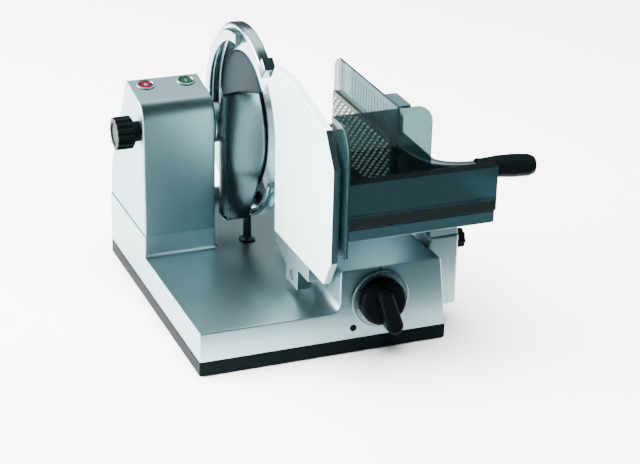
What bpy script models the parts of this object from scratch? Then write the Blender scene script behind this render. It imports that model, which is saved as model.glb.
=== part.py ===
"""Deli meat slicer: cast base, motor tower, guarded round blade, thickness gauge and food carriage.

All sizes are metres. The machine is laid out in its own frame, with X to the right, Y to the back
and Z up from the front left bottom corner of the skirt. The empty "machine" then carries
everything so that the bottom centre of the whole object is the world origin.
"""
from math import atan2, cos, hypot, pi, radians, sin, sqrt, tan

import bmesh
import bpy
from mathutils import Matrix, Vector

GAP = 0.0003
LAP = 0.001
WALL = 0.004

# Base and skirt
BASE_W = 0.357
BASE_D = 0.424
SKIRT_TOP = 0.0200
CASTING_INSET = 0.0005
CASTING_BOTTOM = SKIRT_TOP + GAP
TRAY_TOP = 0.0624
BLOCK_X = 0.199
BLOCK_TOP = 0.1227
BLOCK_REAR_X = 0.290
BLOCK_STEP_Y = 0.230
BLOCK_FILLET = 0.013
CHANNEL_X = 0.342
CHANNEL_Y = 0.030
DRAFT = 0.011
FOOT_DROP = 0.002
FOOT_RADIUS = 0.012
FOOT_INSET = 0.034
LIP_THICK = 0.008
LIP_HEIGHT = 0.020
PLUG_X = 0.219
PLUG_Z = 0.036
GLAND_X = 0.054
GLAND_Z = 0.040
STUD_X = 0.160
STUD_Y = 0.265
STUD_TOP = 0.1070
STUD_RADIUS = 0.006
STUD_FLANGE = 0.0125
PLATE_LOW = 0.0037
PLATE_HIGH = 0.0057

# Tower
TOWER_LEFT = 0.0015
TOWER_RIGHT = 0.1073
TOWER_FRONT = 0.253
TOWER_BACK = 0.4235
TOWER_SEAM = 0.0950
TOWER_TOP_BACK = (0.3355, 0.302)
TOWER_BACK_KNEE = 0.137
TOWER_WALL = 0.003
TOP_SLOPE = radians(10)
TOWER_ROUND = 0.027
BUTTON_Y = 0.316
STOP_X = 0.025
START_X = 0.084
BUTTON_RADIUS = 0.0098

# Blade and its drive
BLADE_Y = 0.278
BLADE_Z = 0.246
BLADE_RADIUS = 0.125
BLADE_EDGE_X = 0.1656
BLADE_WEB_X = 0.1575
SHAFT_RADIUS = 0.0075
HUB_RADIUS = 0.028
BEARING_RADIUS = 0.0172
BEARING_WIDTH = 0.011
BEARING_STARTS = (0.0988, 0.1285)
NECK_END = 0.140
KNOB_RADIUS = 0.0235
KNOB_FLUTES = 14
KNOB_FLUTE_DEPTH = 0.0022
MOTOR_Y = 0.345
MOTOR_Z = 0.140
MOTOR_RADIUS = 0.038
DRIVE_PULLEY_RADIUS = 0.016
MOTOR_PULLEY_RADIUS = 0.0135
BELT_THICK = 0.0018
BELT_CLEARANCE = 0.0007

# Guard ring
RING_IN = 0.1275
RING_OUT = 0.139
RING_X = (0.150, 0.167)
BAND_X = (0.1432, 0.1510)

# Thickness gauge and dial
GAUGE_X = (0.158, 0.168)
GAUGE_TRAVEL = 0.015
DIAL_X = 0.256
DIAL_Z = 0.076
DIAL_TURN = radians(300)
DIAL_RADIUS = 0.0413
DIAL_KNOB_RADIUS = 0.0326
RIDGE_LEAN = radians(18)
CAM_SMALL = 0.0180
GAUGE_ROD_Y = 0.083
GAUGE_ROD_Z = 0.088
GAUGE_ROD_RADIUS = 0.0070
GUIDE_ROD_Y = 0.040
GUIDE_ROD_Z = 0.110
GUIDE_ROD_RADIUS = 0.0040

# Carriage and food pusher
TABLE_X = (0.175, 0.384)
TABLE_Y = (-0.075, 0.250)
TABLE_Z = (0.201, 0.2185)
COLUMN_X = (0.346, 0.391)
COLUMN_Y = (0.040, 0.110)
COLUMN_Z = (0.028, 0.134)
CLAMP_Y = 0.060
CLAMP_Z = 0.119
CLAMP_RADIUS = 0.0140
SLIDE_X = 0.318
SLIDE_Z = 0.088
SLIDE_RADIUS = 0.0080
CARRIAGE_TRAVEL = 0.270
FENCE_TOP = 0.281
GUARD_TOP = 0.356
PUSHER_ROD_Y = 0.234
PUSHER_ROD_Z = 0.236
PUSHER_ROD_RADIUS = 0.0050
SLEEVE_RADIUS = 0.0090
ARM_X = 0.331
ARM_WIDTH = 0.018
ARM_Z = (0.228, 0.250)
SPINDLE_Y = 0.105
SPINDLE_Z = 0.2425
SMOKED_X = (0.264, 0.2675)
GRIP_X = (0.3975, 0.489)
GRIP_Y = 0.020
GRIP_Z = 0.241

KNOB_LEFT = -0.033
GLAND_BACK = 0.436
GUARD_FRONT = -0.078
CENTRE_X = (KNOB_LEFT + GRIP_X[1]) / 2
CENTRE_Y = (GUARD_FRONT + GLAND_BACK) / 2


# ---------------------------------------------------------------- scene and helpers

def clear_scene():
    for old in list(bpy.data.objects):
        bpy.data.objects.remove(old, do_unlink=True)


def new_collection(name):
    collection = bpy.data.collections.new(name)
    bpy.context.scene.collection.children.link(collection)
    return collection


clear_scene()
PARTS = new_collection("meat_slicer")
CUTTERS = new_collection("cutters")
MATERIALS = {}
FINISHES = {
    "cast_aluminium": ((0.62, 0.68, 0.69), 0.36, 1.0),
    "tray_aluminium": ((0.55, 0.62, 0.63), 0.30, 1.0),
    "plate_aluminium": ((0.80, 0.85, 0.86), 0.42, 0.9),
    "polished_steel": ((0.72, 0.76, 0.78), 0.12, 1.0),
    "machined_steel": ((0.50, 0.53, 0.54), 0.28, 1.0),
    "black_plastic": ((0.012, 0.014, 0.016), 0.32, 0.0),
    "black_rubber": ((0.02, 0.02, 0.02), 0.75, 0.0),
    "smoked_acrylic": ((0.10, 0.16, 0.16), 0.08, 0.0),
    "clear_acrylic": ((0.42, 0.52, 0.51), 0.06, 0.0),
    "red_button": ((0.62, 0.01, 0.08), 0.25, 0.0),
    "green_button": ((0.0, 0.25, 0.11), 0.25, 0.0),
    "bronze": ((0.45, 0.33, 0.20), 0.35, 1.0),
    "nylon": ((0.75, 0.76, 0.72), 0.45, 0.0),
    "painted_motor": ((0.10, 0.11, 0.12), 0.5, 0.2),
}


def material(name):
    if name not in MATERIALS:
        colour, roughness, metallic = FINISHES[name]
        made = bpy.data.materials.new(name)
        made.use_nodes = True
        shader = made.node_tree.nodes["Principled BSDF"]
        shader.inputs["Base Color"].default_value = (*colour, 1.0)
        shader.inputs["Roughness"].default_value = roughness
        shader.inputs["Metallic"].default_value = metallic
        made.diffuse_color = (*colour, 1.0)
        MATERIALS[name] = made
    return MATERIALS[name]


def empty(name, at, parent=None, tilt=0.0):
    """An empty at a machine-frame point, leaning by tilt about X."""
    made = bpy.data.objects.new(name, None)
    PARTS.objects.link(made)
    made.parent = parent
    origin = parent["at"] if parent else (0.0, 0.0, 0.0)
    made["at"] = tuple(at)
    made.location = Vector(at) - Vector(origin)
    made.rotation_euler = (tilt, 0.0, 0.0)
    return made


def place(item, at, rotation, parent, finish):
    """Hang an object on its empty. A finish of None makes it a cutter or a guide."""
    item.parent = parent
    item.location = Vector(at) - Vector(parent["at"])
    item.rotation_euler = rotation
    if finish is None:
        CUTTERS.objects.link(item)
        item.hide_render = True
        item.display_type = "WIRE"
        return item
    PARTS.objects.link(item)
    item.data.materials.append(material(finish))
    return item


def bevel(item, width, segments=2):
    made = item.modifiers.new("bevel", "BEVEL")
    made.width = width
    made.segments = segments
    made.limit_method = "ANGLE"
    made.angle_limit = radians(35)
    return item


def combine(item, operation, others):
    for other in others:
        made = item.modifiers.new(other.name, "BOOLEAN")
        made.operation = operation
        made.solver = "EXACT"
        made.object = other
    return item


def cut(item, *cutters):
    return combine(item, "DIFFERENCE", cutters)


def join(item, *guides):
    return combine(item, "UNION", guides)


def box(name, xs, ys, zs, parent, finish, edge=0.0, segments=2):
    """A box between low and high machine-frame limits."""
    mesh = bpy.data.meshes.new(name)
    work = bmesh.new()
    bmesh.ops.create_cube(work, size=1.0)
    size = (xs[1] - xs[0], ys[1] - ys[0], zs[1] - zs[0])
    bmesh.ops.scale(work, vec=size, verts=work.verts)
    work.to_mesh(mesh)
    work.free()
    item = bpy.data.objects.new(name, mesh)
    centre = ((xs[0] + xs[1]) / 2, (ys[0] + ys[1]) / 2, (zs[0] + zs[1]) / 2)
    place(item, centre, (0.0, 0.0, 0.0), parent, finish)
    if edge:
        bevel(item, edge, segments)
    return item


def turned(name, profile, axis, centre, parent, finish, steps=24, tilt=0.0):
    """A solid of revolution. profile is (radius, station) with its outer side in rising order.

    Stations are measured along the axis from centre. A closed ring profile starts away from
    the axis, and a solid one starts and ends on it.
    """
    points = list(reversed(profile))
    mesh = bpy.data.meshes.new(name)
    work = bmesh.new()
    made = [work.verts.new((radius, 0.0, station)) for radius, station in points]
    for first, second in zip(made, made[1:]):
        work.edges.new((first, second))
    if points[0][0] > 0.0:
        work.edges.new((made[-1], made[0]))
    work.to_mesh(mesh)
    work.free()
    item = bpy.data.objects.new(name, mesh)
    turn = {"X": (0.0, pi / 2 + tilt, 0.0), "Y": (-pi / 2, 0.0, 0.0), "Z": (0.0, 0.0, 0.0)}[axis]
    place(item, centre, turn, parent, finish)
    screw = item.modifiers.new("turn", "SCREW")
    screw.axis = "Z"
    screw.steps = steps
    screw.render_steps = steps
    screw.use_merge_vertices = True
    screw.merge_threshold = 0.00001
    screw.use_smooth_shade = True
    return item


def rod(name, radius, stations, axis, centre, parent, finish, steps=16, edge=0.0, tilt=0.0):
    low, high = stations
    if edge:
        profile = [(0, low), (radius - edge, low), (radius, low + edge),
                   (radius, high - edge), (radius - edge, high), (0, high)]
    else:
        profile = [(0, low), (radius, low), (radius, high), (0, high)]
    return turned(name, profile, axis, centre, parent, finish, steps, tilt)


def ring(name, inner, outer, stations, axis, centre, parent, finish, steps=24, edge=0.0):
    low, high = stations
    profile = [(inner, low), (outer - edge, low), (outer, low + edge),
               (outer, high - edge), (outer - edge, high), (inner, high)]
    if not edge:
        profile = [(inner, low), (outer, low), (outer, high), (inner, high)]
    return turned(name, profile, axis, centre, parent, finish, steps)


def plate(name, outline, axis, low, high, parent, finish):
    """A flat outline given thickness along an axis.

    The outline is (Y, Z) for axis X, (X, Z) for axis Y and (X, Y) for axis Z.
    """
    curve = bpy.data.curves.new(name, "CURVE")
    curve.dimensions = "2D"
    curve.fill_mode = "BOTH"
    curve.extrude = (high - low) / 2
    spline = curve.splines.new("POLY")
    spline.points.add(len(outline) - 1)
    for point, (across, up) in zip(spline.points, outline):
        point.co = (across, up, 0.0, 1.0)
    spline.use_cyclic_u = True
    drawn = bpy.data.objects.new(name + "_outline", curve)
    PARTS.objects.link(drawn)
    bpy.context.view_layer.update()
    evaluated = drawn.evaluated_get(bpy.context.evaluated_depsgraph_get())
    mesh = bpy.data.meshes.new_from_object(evaluated)
    bpy.data.objects.remove(drawn, do_unlink=True)
    work = bmesh.new()
    work.from_mesh(mesh)
    bmesh.ops.remove_doubles(work, verts=work.verts, dist=0.000005)
    bmesh.ops.dissolve_limit(work, angle_limit=radians(1), verts=work.verts, edges=work.edges)
    bmesh.ops.recalc_face_normals(work, faces=work.faces)
    work.to_mesh(mesh)
    work.free()
    item = bpy.data.objects.new(name, mesh)
    middle = (low + high) / 2
    turn, at = {"X": ((pi / 2, 0.0, pi / 2), (middle, 0.0, 0.0)),
                "Y": ((pi / 2, 0.0, 0.0), (0.0, middle, 0.0)),
                "Z": ((0.0, 0.0, 0.0), (0.0, 0.0, middle))}[axis]
    return place(item, at, turn, parent, finish)


def arc(centre, radius, start, end, count):
    """Points on a circle from one angle to another, both ends included."""
    points = []
    for index in range(count + 1):
        angle = start + (end - start) * index / count
        points.append((centre[0] + radius * cos(angle), centre[1] + radius * sin(angle)))
    return points


def rounded(corners, count=3):
    """An outline from (across, up, radius) corners, each rounded by its radius."""
    outline = []
    for index, (across, up, radius) in enumerate(corners):
        here = Vector((across, up))
        if radius == 0:
            outline.append((across, up))
            continue
        before = (Vector(corners[index - 1][:2]) - here).normalized()
        after = (Vector(corners[(index + 1) % len(corners)][:2]) - here).normalized()
        half = before.angle(after) / 2
        centre = here + (before + after).normalized() * radius / sin(half)
        first = here + before * radius / tan(half) - centre
        last = here + after * radius / tan(half) - centre
        sweep = first.angle_signed(last)
        for step in range(count + 1):
            spoke = Matrix.Rotation(-sweep * step / count, 2) @ first
            outline.append(tuple(centre + spoke))
    return outline


def inset(outline, distance):
    """A convex counter-clockwise outline moved inwards by a distance."""
    moved = []
    for index, point in enumerate(outline):
        here = Vector(point)
        before = (here - Vector(outline[index - 1])).normalized()
        after = (Vector(outline[(index + 1) % len(outline)]) - here).normalized()
        normal_before = Vector((-before.y, before.x))
        normal_after = Vector((-after.y, after.x))
        middle = (normal_before + normal_after).normalized()
        reach = distance / max(middle.dot(normal_before), 0.2)
        moved.append(tuple(here + middle * reach))
    return moved


def ring_point(radius, angle):
    """A (Y, Z) point about the blade axis. Angles rise from the front over the top."""
    return (BLADE_Y - radius * cos(angle), BLADE_Z + radius * sin(angle))


def ring_sector(inner, outer, start, end, count):
    """A (Y, Z) outline between two radii and two angles in degrees."""
    first = [ring_point(outer, radians(start + (end - start) * i / count)) for i in range(count + 1)]
    second = [ring_point(inner, radians(end + (start - end) * i / count)) for i in range(count + 1)]
    return first + second


# ---------------------------------------------------------------- base

def block_outline(left, right_low, right_high, wall):
    """The base's cross-section in (X, Z): the tray on the left and the raised block."""
    edge = CASTING_INSET + wall
    floor = CASTING_BOTTOM - wall
    top = BLOCK_TOP - wall
    tray = TRAY_TOP - wall
    round_top = 0.0045 - wall * 0.9
    return rounded([
        (edge, floor, 0), (right_low - wall, floor, 0), (right_high - wall, top, round_top),
        (left + wall, top, round_top), (left + wall, tray, BLOCK_FILLET if wall == 0 else 0.004),
        (edge, tray, 0.002 if wall == 0 else 0.001)])


def build_base(machine):
    right = BASE_W - CASTING_INSET
    front = CASTING_INSET
    back = BASE_D - CASTING_INSET
    body = plate("base_casting", block_outline(BLOCK_X, CHANNEL_X, CHANNEL_X, 0.0),
                 "Y", CHANNEL_Y - LAP, BLOCK_STEP_Y, machine, "cast_aluminium")
    nose = plate("base_nose", block_outline(BLOCK_X, right, right - DRAFT, 0.0),
                 "Y", front, CHANNEL_Y, machine, None)
    rear = plate("base_rear", block_outline(BLOCK_REAR_X, CHANNEL_X, CHANNEL_X, 0.0),
                 "Y", BLOCK_STEP_Y - LAP, back, machine, None)
    stub = box("base_stub", (TOWER_LEFT - LAP, TOWER_RIGHT), (TOWER_FRONT, back),
               (TRAY_TOP - 2 * LAP, TOWER_SEAM - GAP), machine, None)
    lip = box("base_lip", (TOWER_RIGHT - 2 * LAP, BLOCK_REAR_X + 2 * LAP), (back - LIP_THICK, back),
              (TRAY_TOP - 2 * LAP, TRAY_TOP + LIP_HEIGHT), machine, None)
    join(body, nose, rear, stub, lip)
    hollow = plate("base_hollow", block_outline(BLOCK_X, CHANNEL_X, CHANNEL_X, WALL),
                   "Y", front + WALL, BLOCK_STEP_Y - WALL, machine, None)
    rear_hollow = plate("base_rear_hollow", block_outline(BLOCK_REAR_X, CHANNEL_X, CHANNEL_X, WALL),
                        "Y", BLOCK_STEP_Y - 2 * WALL, back - WALL, machine, None)
    stub_hollow = box("stub_hollow", (TOWER_LEFT + WALL, TOWER_RIGHT - WALL),
                      (TOWER_FRONT + WALL, back - WALL), (TRAY_TOP, TOWER_SEAM + 0.01), machine, None)
    cable_hole = rod("cable_hole", 0.010, (TRAY_TOP - 0.02, TRAY_TOP + 0.02), "Z",
                     (GLAND_X, 0.400, 0.0), machine, None, 12)
    dial_hole = rod("dial_hole", 0.0093, (-0.002, 0.010), "Y", (DIAL_X, 0.0, DIAL_Z), machine, None)
    plug_hole = rod("plug_hole", 0.0035, (-0.002, 0.010), "Y", (PLUG_X, 0.0, PLUG_Z), machine, None, 12)
    gland_hole = rod("gland_hole", 0.0085, (BASE_D - 0.010, BASE_D + 0.002), "Y",
                     (GLAND_X, 0.0, GLAND_Z), machine, None)
    rod_hole = rod("gauge_bush_hole", 0.0103, (BLOCK_X - 0.003, BLOCK_X + 0.010), "X",
                   (0.0, GAUGE_ROD_Y, GAUGE_ROD_Z), machine, None)
    guide_hole = rod("guide_hole", GUIDE_ROD_RADIUS + GAP, (BLOCK_X - 0.003, BLOCK_X + 0.010), "X",
                     (0.0, GUIDE_ROD_Y, GUIDE_ROD_Z), machine, None, 12)
    slot = box("slider_slot", (CHANNEL_X - WALL - 0.002, CHANNEL_X + 0.002),
               (0.044, 0.106 + CARRIAGE_TRAVEL), (SLIDE_Z - 0.009, SLIDE_Z + 0.009), machine, None)
    cut(body, hollow, rear_hollow, stub_hollow, cable_hole, dial_hole, plug_hole, gland_hole,
        rod_hole, guide_hole, slot)


def build_skirt(machine):
    body = box("skirt", (0.0, BASE_W), (0.0, BASE_D), (0.0, SKIRT_TOP), machine, "black_plastic")
    corner = body.modifiers.new("corner", "BEVEL")
    corner.width = 0.0015
    corner.segments = 1
    recess = box("skirt_recess", (0.005, BASE_W - 0.005), (0.005, BASE_D - 0.005),
                 (-0.001, 0.006), machine, None)
    through = box("skirt_through", (0.014, BASE_W - 0.016), (0.014, BASE_D - 0.014),
                  (-0.001, SKIRT_TOP + 0.001), machine, None)
    cut(body, recess, through)
    box("bottom_plate", (0.0053, BASE_W - 0.0053), (0.0053, BASE_D - 0.0053),
        (PLATE_LOW, PLATE_HIGH), machine, "machined_steel")
    right = BASE_W - FOOT_INSET
    rear = BASE_D - FOOT_INSET
    places = [("front_left", FOOT_INSET, FOOT_INSET), ("front_right", right, FOOT_INSET),
              ("rear_left", FOOT_INSET, rear), ("rear_right", right, rear)]
    for where, across, deep in places:
        rod("foot_" + where, FOOT_RADIUS, (-FOOT_DROP, PLATE_LOW - GAP), "Z", (across, deep, 0.0),
            machine, "black_rubber", 16, 0.0012)


def build_fittings(machine):
    rod("front_plug", 0.0048, (-0.0008, CASTING_INSET - GAP), "Y", (PLUG_X, 0.0, PLUG_Z),
        machine, "black_plastic", 16)
    gland = rod("cord_gland", 0.011, (BASE_D + GAP, BASE_D + 0.005), "Y", (GLAND_X, 0.0, GLAND_Z),
                machine, "black_plastic", 6)
    stem = rod("gland_stem", 0.008, (BASE_D - 0.012, GLAND_BACK), "Y", (GLAND_X, 0.0, GLAND_Z),
               machine, None)
    bore = rod("gland_bore", 0.0035, (BASE_D - 0.02, GLAND_BACK + 0.01), "Y", (GLAND_X, 0.0, GLAND_Z),
               machine, None, 12)
    join(gland, stem)
    cut(gland, bore)
    turned("support_stud", [(0, TRAY_TOP + GAP), (STUD_FLANGE, TRAY_TOP + GAP),
                            (STUD_FLANGE, TRAY_TOP + 0.003), (0.0075, TRAY_TOP + 0.0055),
                            (STUD_RADIUS, TRAY_TOP + 0.009), (STUD_RADIUS, STUD_TOP),
                            (0, STUD_TOP)],
           "Z", (STUD_X, STUD_Y, 0.0), machine, "machined_steel", 20)


# ---------------------------------------------------------------- tower and drive

def tower_outline():
    """The tower's side view in (Y, Z), counter-clockwise from the front bottom corner."""
    top_y, top_z = TOWER_TOP_BACK
    slope_end = top_z - (top_y - TOWER_FRONT) * tan(TOP_SLOPE)
    corners = [(TOWER_FRONT, slope_end, TOWER_ROUND), (TOWER_FRONT, TOWER_SEAM, 0),
               (TOWER_BACK, TOWER_SEAM, 0), (TOWER_BACK, TOWER_BACK_KNEE, 0),
               (top_y, top_z, 0.006)]
    return rounded(corners, 6)


def build_tower(machine):
    outline = tower_outline()
    body = plate("tower_housing", outline, "X", TOWER_LEFT, TOWER_RIGHT, machine, "cast_aluminium")
    hollow = plate("tower_hollow", inset(outline, TOWER_WALL), "X", TOWER_LEFT + TOWER_WALL,
                   TOWER_RIGHT - TOWER_WALL, machine, None)
    mouth = box("tower_mouth", (TOWER_LEFT + TOWER_WALL, TOWER_RIGHT - TOWER_WALL),
                (TOWER_FRONT + TOWER_WALL, TOWER_BACK - TOWER_WALL),
                (TOWER_SEAM - 0.002, TOWER_SEAM + 0.008), machine, None)
    knob_hole = rod("knob_hole", 0.0075, (TOWER_LEFT - 0.002, TOWER_LEFT + 0.006), "X",
                    (0.0, BLADE_Y, BLADE_Z), machine, None)
    neck_hole = rod("neck_hole", 0.0213, (TOWER_RIGHT - 0.006, TOWER_RIGHT + 0.002), "X",
                    (0.0, BLADE_Y, BLADE_Z), machine, None, 24)
    cut(body, hollow, mouth, knob_hole, neck_hole)
    for name, across, finish in (("stop", STOP_X, "red_button"), ("start", START_X, "green_button")):
        build_button(machine, body, name, across, finish)


def build_button(machine, tower, name, across, finish):
    """A push button in its bezel, square to the sloping top."""
    high = TOWER_TOP_BACK[1] - (TOWER_TOP_BACK[0] - BUTTON_Y) * tan(TOP_SLOPE)
    frame = empty(name + "_button_axis", (across, BUTTON_Y, high), machine, TOP_SLOPE)
    frame["at"] = (0.0, 0.0, 0.0)
    centre = (0.0, 0.0, 0.0)
    hole = rod(name + "_hole", 0.0118, (-0.008, 0.004), "Z", centre, frame, None, 20)
    cut(tower, hole)
    turned(name + "_bezel", [(0.0103, -0.012), (0.0115, -0.012), (0.0115, GAP), (0.0134, GAP),
                             (0.0130, 0.0016), (0.0110, 0.0019), (0.0103, 0.0010)],
           "Z", centre, frame, "machined_steel", 16)
    turned(name + "_button", [(0, -0.0090), (BUTTON_RADIUS, -0.0090), (BUTTON_RADIUS, 0.0008),
                              (0.0088, 0.0014), (0.0050, 0.0009), (0, 0.0008)],
           "Z", centre, frame, finish, 16)


def build_drive(machine, blade_axis, motor_axis):
    centre = (0.0, BLADE_Y, BLADE_Z)
    turned("neck_housing", [(0.0175, 0.098), (0.0210, 0.098), (0.0210, TOWER_RIGHT + GAP),
                            (HUB_RADIUS, TOWER_RIGHT + GAP), (HUB_RADIUS, NECK_END), (0.0175, NECK_END),
                            (0.0175, 0.1282), (0.0145, 0.1282), (0.0145, 0.1102), (0.0175, 0.1102)],
           "X", centre, machine, "cast_aluminium", 20)
    for name, low in zip(("bearing_left", "bearing_right"), BEARING_STARTS):
        ring(name, SHAFT_RADIUS + GAP, BEARING_RADIUS, (low, low + BEARING_WIDTH), "X", centre,
             machine, "machined_steel", 16)
    turned("blade_shaft", [(0.0046, 0.010), (SHAFT_RADIUS, 0.010), (SHAFT_RADIUS, 0.1476),
                           (HUB_RADIUS, 0.1476), (HUB_RADIUS, BLADE_WEB_X - GAP),
                           (0.010, BLADE_WEB_X - GAP), (0.010, 0.1610), (0.0046, 0.1610)],
           "X", centre, blade_axis, "machined_steel", 16)
    ring("drive_pulley", SHAFT_RADIUS + GAP, DRIVE_PULLEY_RADIUS, (0.012, 0.028), "X", centre,
         blade_axis, "nylon", 20)
    motor_centre = (0.0, MOTOR_Y, MOTOR_Z)
    turned("motor_pulley", [(0, 0.012), (MOTOR_PULLEY_RADIUS, 0.012), (MOTOR_PULLEY_RADIUS, 0.028),
                            (0.005, 0.028), (0.005, 0.0340), (0, 0.0340)],
           "X", motor_centre, motor_axis, "machined_steel", 16)
    motor = rod("motor", MOTOR_RADIUS, (0.0345, 0.098), "X", motor_centre, machine,
                "painted_motor", 20, 0.004)
    terminals = box("motor_terminals", (0.045, 0.085), (MOTOR_Y + 0.020, MOTOR_Y + 0.052),
                    (MOTOR_Z - 0.014, MOTOR_Z + 0.014), machine, None)
    join(motor, terminals)
    build_belt(machine)
    bracket = box("motor_bracket", (0.0305, 0.0337), (0.306, 0.384), (TRAY_TOP + GAP, 0.180),
                  machine, "machined_steel")
    foot = box("bracket_foot", (0.0305, 0.070), (0.306, 0.384), (TRAY_TOP + GAP, TRAY_TOP + 0.004),
               machine, None)
    shaft_hole = rod("bracket_hole", 0.009, (0.025, 0.040), "X", motor_centre, machine, None)
    join(bracket, foot)
    cut(bracket, shaft_hole)
    box("switch_module", (0.010, 0.099), (0.298, 0.330), (0.2690, 0.2830), machine, "black_plastic")


def build_belt(machine):
    """The toothed belt's loop round both pulleys, as an outline with an inner cut."""
    offset_y = MOTOR_Y - BLADE_Y
    offset_z = MOTOR_Z - BLADE_Z
    distance = hypot(offset_y, offset_z)
    heading = atan2(offset_z, offset_y)

    def loop(extra):
        big = DRIVE_PULLEY_RADIUS + BELT_CLEARANCE + extra
        small = MOTOR_PULLEY_RADIUS + BELT_CLEARANCE + extra
        lean = atan2(big - small, sqrt(distance ** 2 - (big - small) ** 2))
        first = arc((BLADE_Y, BLADE_Z), big, heading + pi / 2 - lean, heading + 3 * pi / 2 + lean, 10)
        second = arc((MOTOR_Y, MOTOR_Z), small, heading - pi / 2 + lean, heading + pi / 2 - lean, 10)
        return first + second

    body = plate("drive_belt", loop(BELT_THICK), "X", 0.014, 0.026, machine, "black_rubber")
    inner = plate("belt_inner", loop(0.0), "X", 0.010, 0.030, machine, None)
    cut(body, inner)


def build_blade(machine, blade_axis, knob_axis):
    centre = (0.0, BLADE_Y, BLADE_Z)
    turned("blade", [(0.0103, BLADE_WEB_X), (0.096, BLADE_WEB_X), (0.100, BLADE_WEB_X + 0.0017),
                     (BLADE_RADIUS, BLADE_EDGE_X - 0.0003), (BLADE_RADIUS, BLADE_EDGE_X),
                     (0.104, BLADE_EDGE_X - 0.0020), (0.099, BLADE_WEB_X + 0.0030),
                     (0.0103, BLADE_WEB_X + 0.0025)],
           "X", centre, blade_axis, "polished_steel", 40)
    turned("blade_cover_plate", [(0, 0.1653), (0.0043, 0.1653), (0.0043, 0.1613), (0.012, 0.1613),
                                 (0.012, 0.1632), (0.096, 0.1632), (0.098, 0.1645),
                                 (0.098, 0.1660), (0, 0.1660)],
           "X", centre, machine, "polished_steel", 32)
    rod("tie_rod", 0.004, (-0.025, 0.1648), "X", centre, knob_axis, "machined_steel", 12)
    build_release_knob(knob_axis)


def build_release_knob(knob_axis):
    """A fluted knob on the tie rod's left end, with a plain neck towards the tower."""
    inner = KNOB_RADIUS - KNOB_FLUTE_DEPTH
    outline = []
    for index in range(KNOB_FLUTES):
        start = 2 * pi * index / KNOB_FLUTES
        for share, radius in ((0.0, KNOB_RADIUS), (0.55, KNOB_RADIUS), (0.70, inner), (0.85, inner)):
            angle = start + share * 2 * pi / KNOB_FLUTES
            outline.append((BLADE_Y + radius * cos(angle), BLADE_Z + radius * sin(angle)))
    body = plate("release_knob", outline, "X", KNOB_LEFT, -0.007, knob_axis, "black_plastic")
    neck = rod("knob_neck", 0.0145, (-0.010, TOWER_LEFT - GAP), "X", (0.0, BLADE_Y, BLADE_Z),
               knob_axis, None, 20)
    bore = rod("knob_bore", 0.0043, (-0.0255, 0.010), "X", (0.0, BLADE_Y, BLADE_Z), knob_axis,
               None, 12)
    join(body, neck)
    cut(body, bore)


def build_guard(machine):
    """The ring round the blade, its inner band at the back and its web to the neck."""
    body = plate("guard_ring", ring_sector(RING_IN, RING_OUT, 50, 336, 34), "X", *RING_X,
                 machine, "cast_aluminium")
    lug = plate("guard_lug", ring_sector(RING_IN, 0.152, 45.5, 53, 2), "X", *RING_X, machine, None)
    band = plate("guard_band", ring_sector(0.112, 0.130, 88, 284, 20), "X", *BAND_X, machine, None)
    web = plate("guard_web", ring_sector(0.015, 0.118, 188, 262, 10), "X", 0.1403, 0.1470,
                machine, None)
    hub = ring("guard_hub", 0.0095, HUB_RADIUS, (0.1403, 0.1470), "X", (0.0, BLADE_Y, BLADE_Z),
               machine, None, 24)
    bore = rod("guard_bore", 0.0095, (0.135, 0.150), "X", (0.0, BLADE_Y, BLADE_Z), machine, None, 24)
    join(body, lug, band, web, hub)
    cut(body, bore)


def build_deflector(machine):
    """A thin curved sheet that throws each slice on to the tray."""
    left_x = 0.112
    right_x = 0.1563
    edge_radius = 0.097
    top = 0.312
    notch = 0.183
    chin = 0.118
    rows = 12
    columns = 6

    def left_edge(height):
        return 0.235 - 0.010 * max(0.0, (0.160 - height) / 0.045) ** 2

    def right_edge(height):
        if height >= notch:
            return BLADE_Y - sqrt(edge_radius ** 2 - (height - BLADE_Z) ** 2)
        share = (notch - height) / (notch - chin)
        return 0.2043 + 0.020 * share

    work = bmesh.new()
    grid = []
    for row in range(rows + 1):
        height = chin + (top - chin) * row / rows
        narrowing = 0.009 * max(0.0, (0.172 - height) / (0.172 - chin))
        line = [work.verts.new((left_x, 0.2495, height))]
        for column in range(columns + 1):
            share = column / columns
            across = left_x + (right_x - narrowing - left_x) * share
            start = left_edge(height)
            deep = start - (start - right_edge(height)) * share ** 2.3
            line.append(work.verts.new((across, deep, height - 0.010 * (1 - share) * (row / rows))))
        grid.append(line)
    for lower, upper in zip(grid, grid[1:]):
        for index in range(columns + 1):
            work.faces.new((lower[index], lower[index + 1], upper[index + 1], upper[index]))
    chin_row = grid[0]
    under = [work.verts.new((vert.co.x, vert.co.y + 0.014, vert.co.z - 0.006))
             for vert in chin_row[2:]]
    for index in range(len(under) - 1):
        work.faces.new((under[index], under[index + 1], chin_row[index + 3], chin_row[index + 2]))
    bmesh.ops.recalc_face_normals(work, faces=work.faces)
    mesh = bpy.data.meshes.new("slice_deflector")
    work.to_mesh(mesh)
    work.free()
    item = place(bpy.data.objects.new("slice_deflector", mesh), (0.0, 0.0, 0.0), (0.0, 0.0, 0.0),
                 machine, "polished_steel")
    shell = item.modifiers.new("sheet", "SOLIDIFY")
    shell.thickness = 0.0012
    shell.offset = 0.0


# ---------------------------------------------------------------- gauge and dial

def gauge_outline():
    """The gauge plate's side view in (Y, Z), with a hollow arc that follows the blade."""
    corner = [(-0.038, 0.1285), (-0.062, 0.168), (-0.063, 0.2985), (-0.032, 0.342),
              (0.096, 0.368), (0.154, 0.365)]
    hollow = [ring_point(0.129, radians(41 - 41 * index / 6)) for index in range(7)]
    return corner + hollow + [(0.147, 0.1275)]


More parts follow.
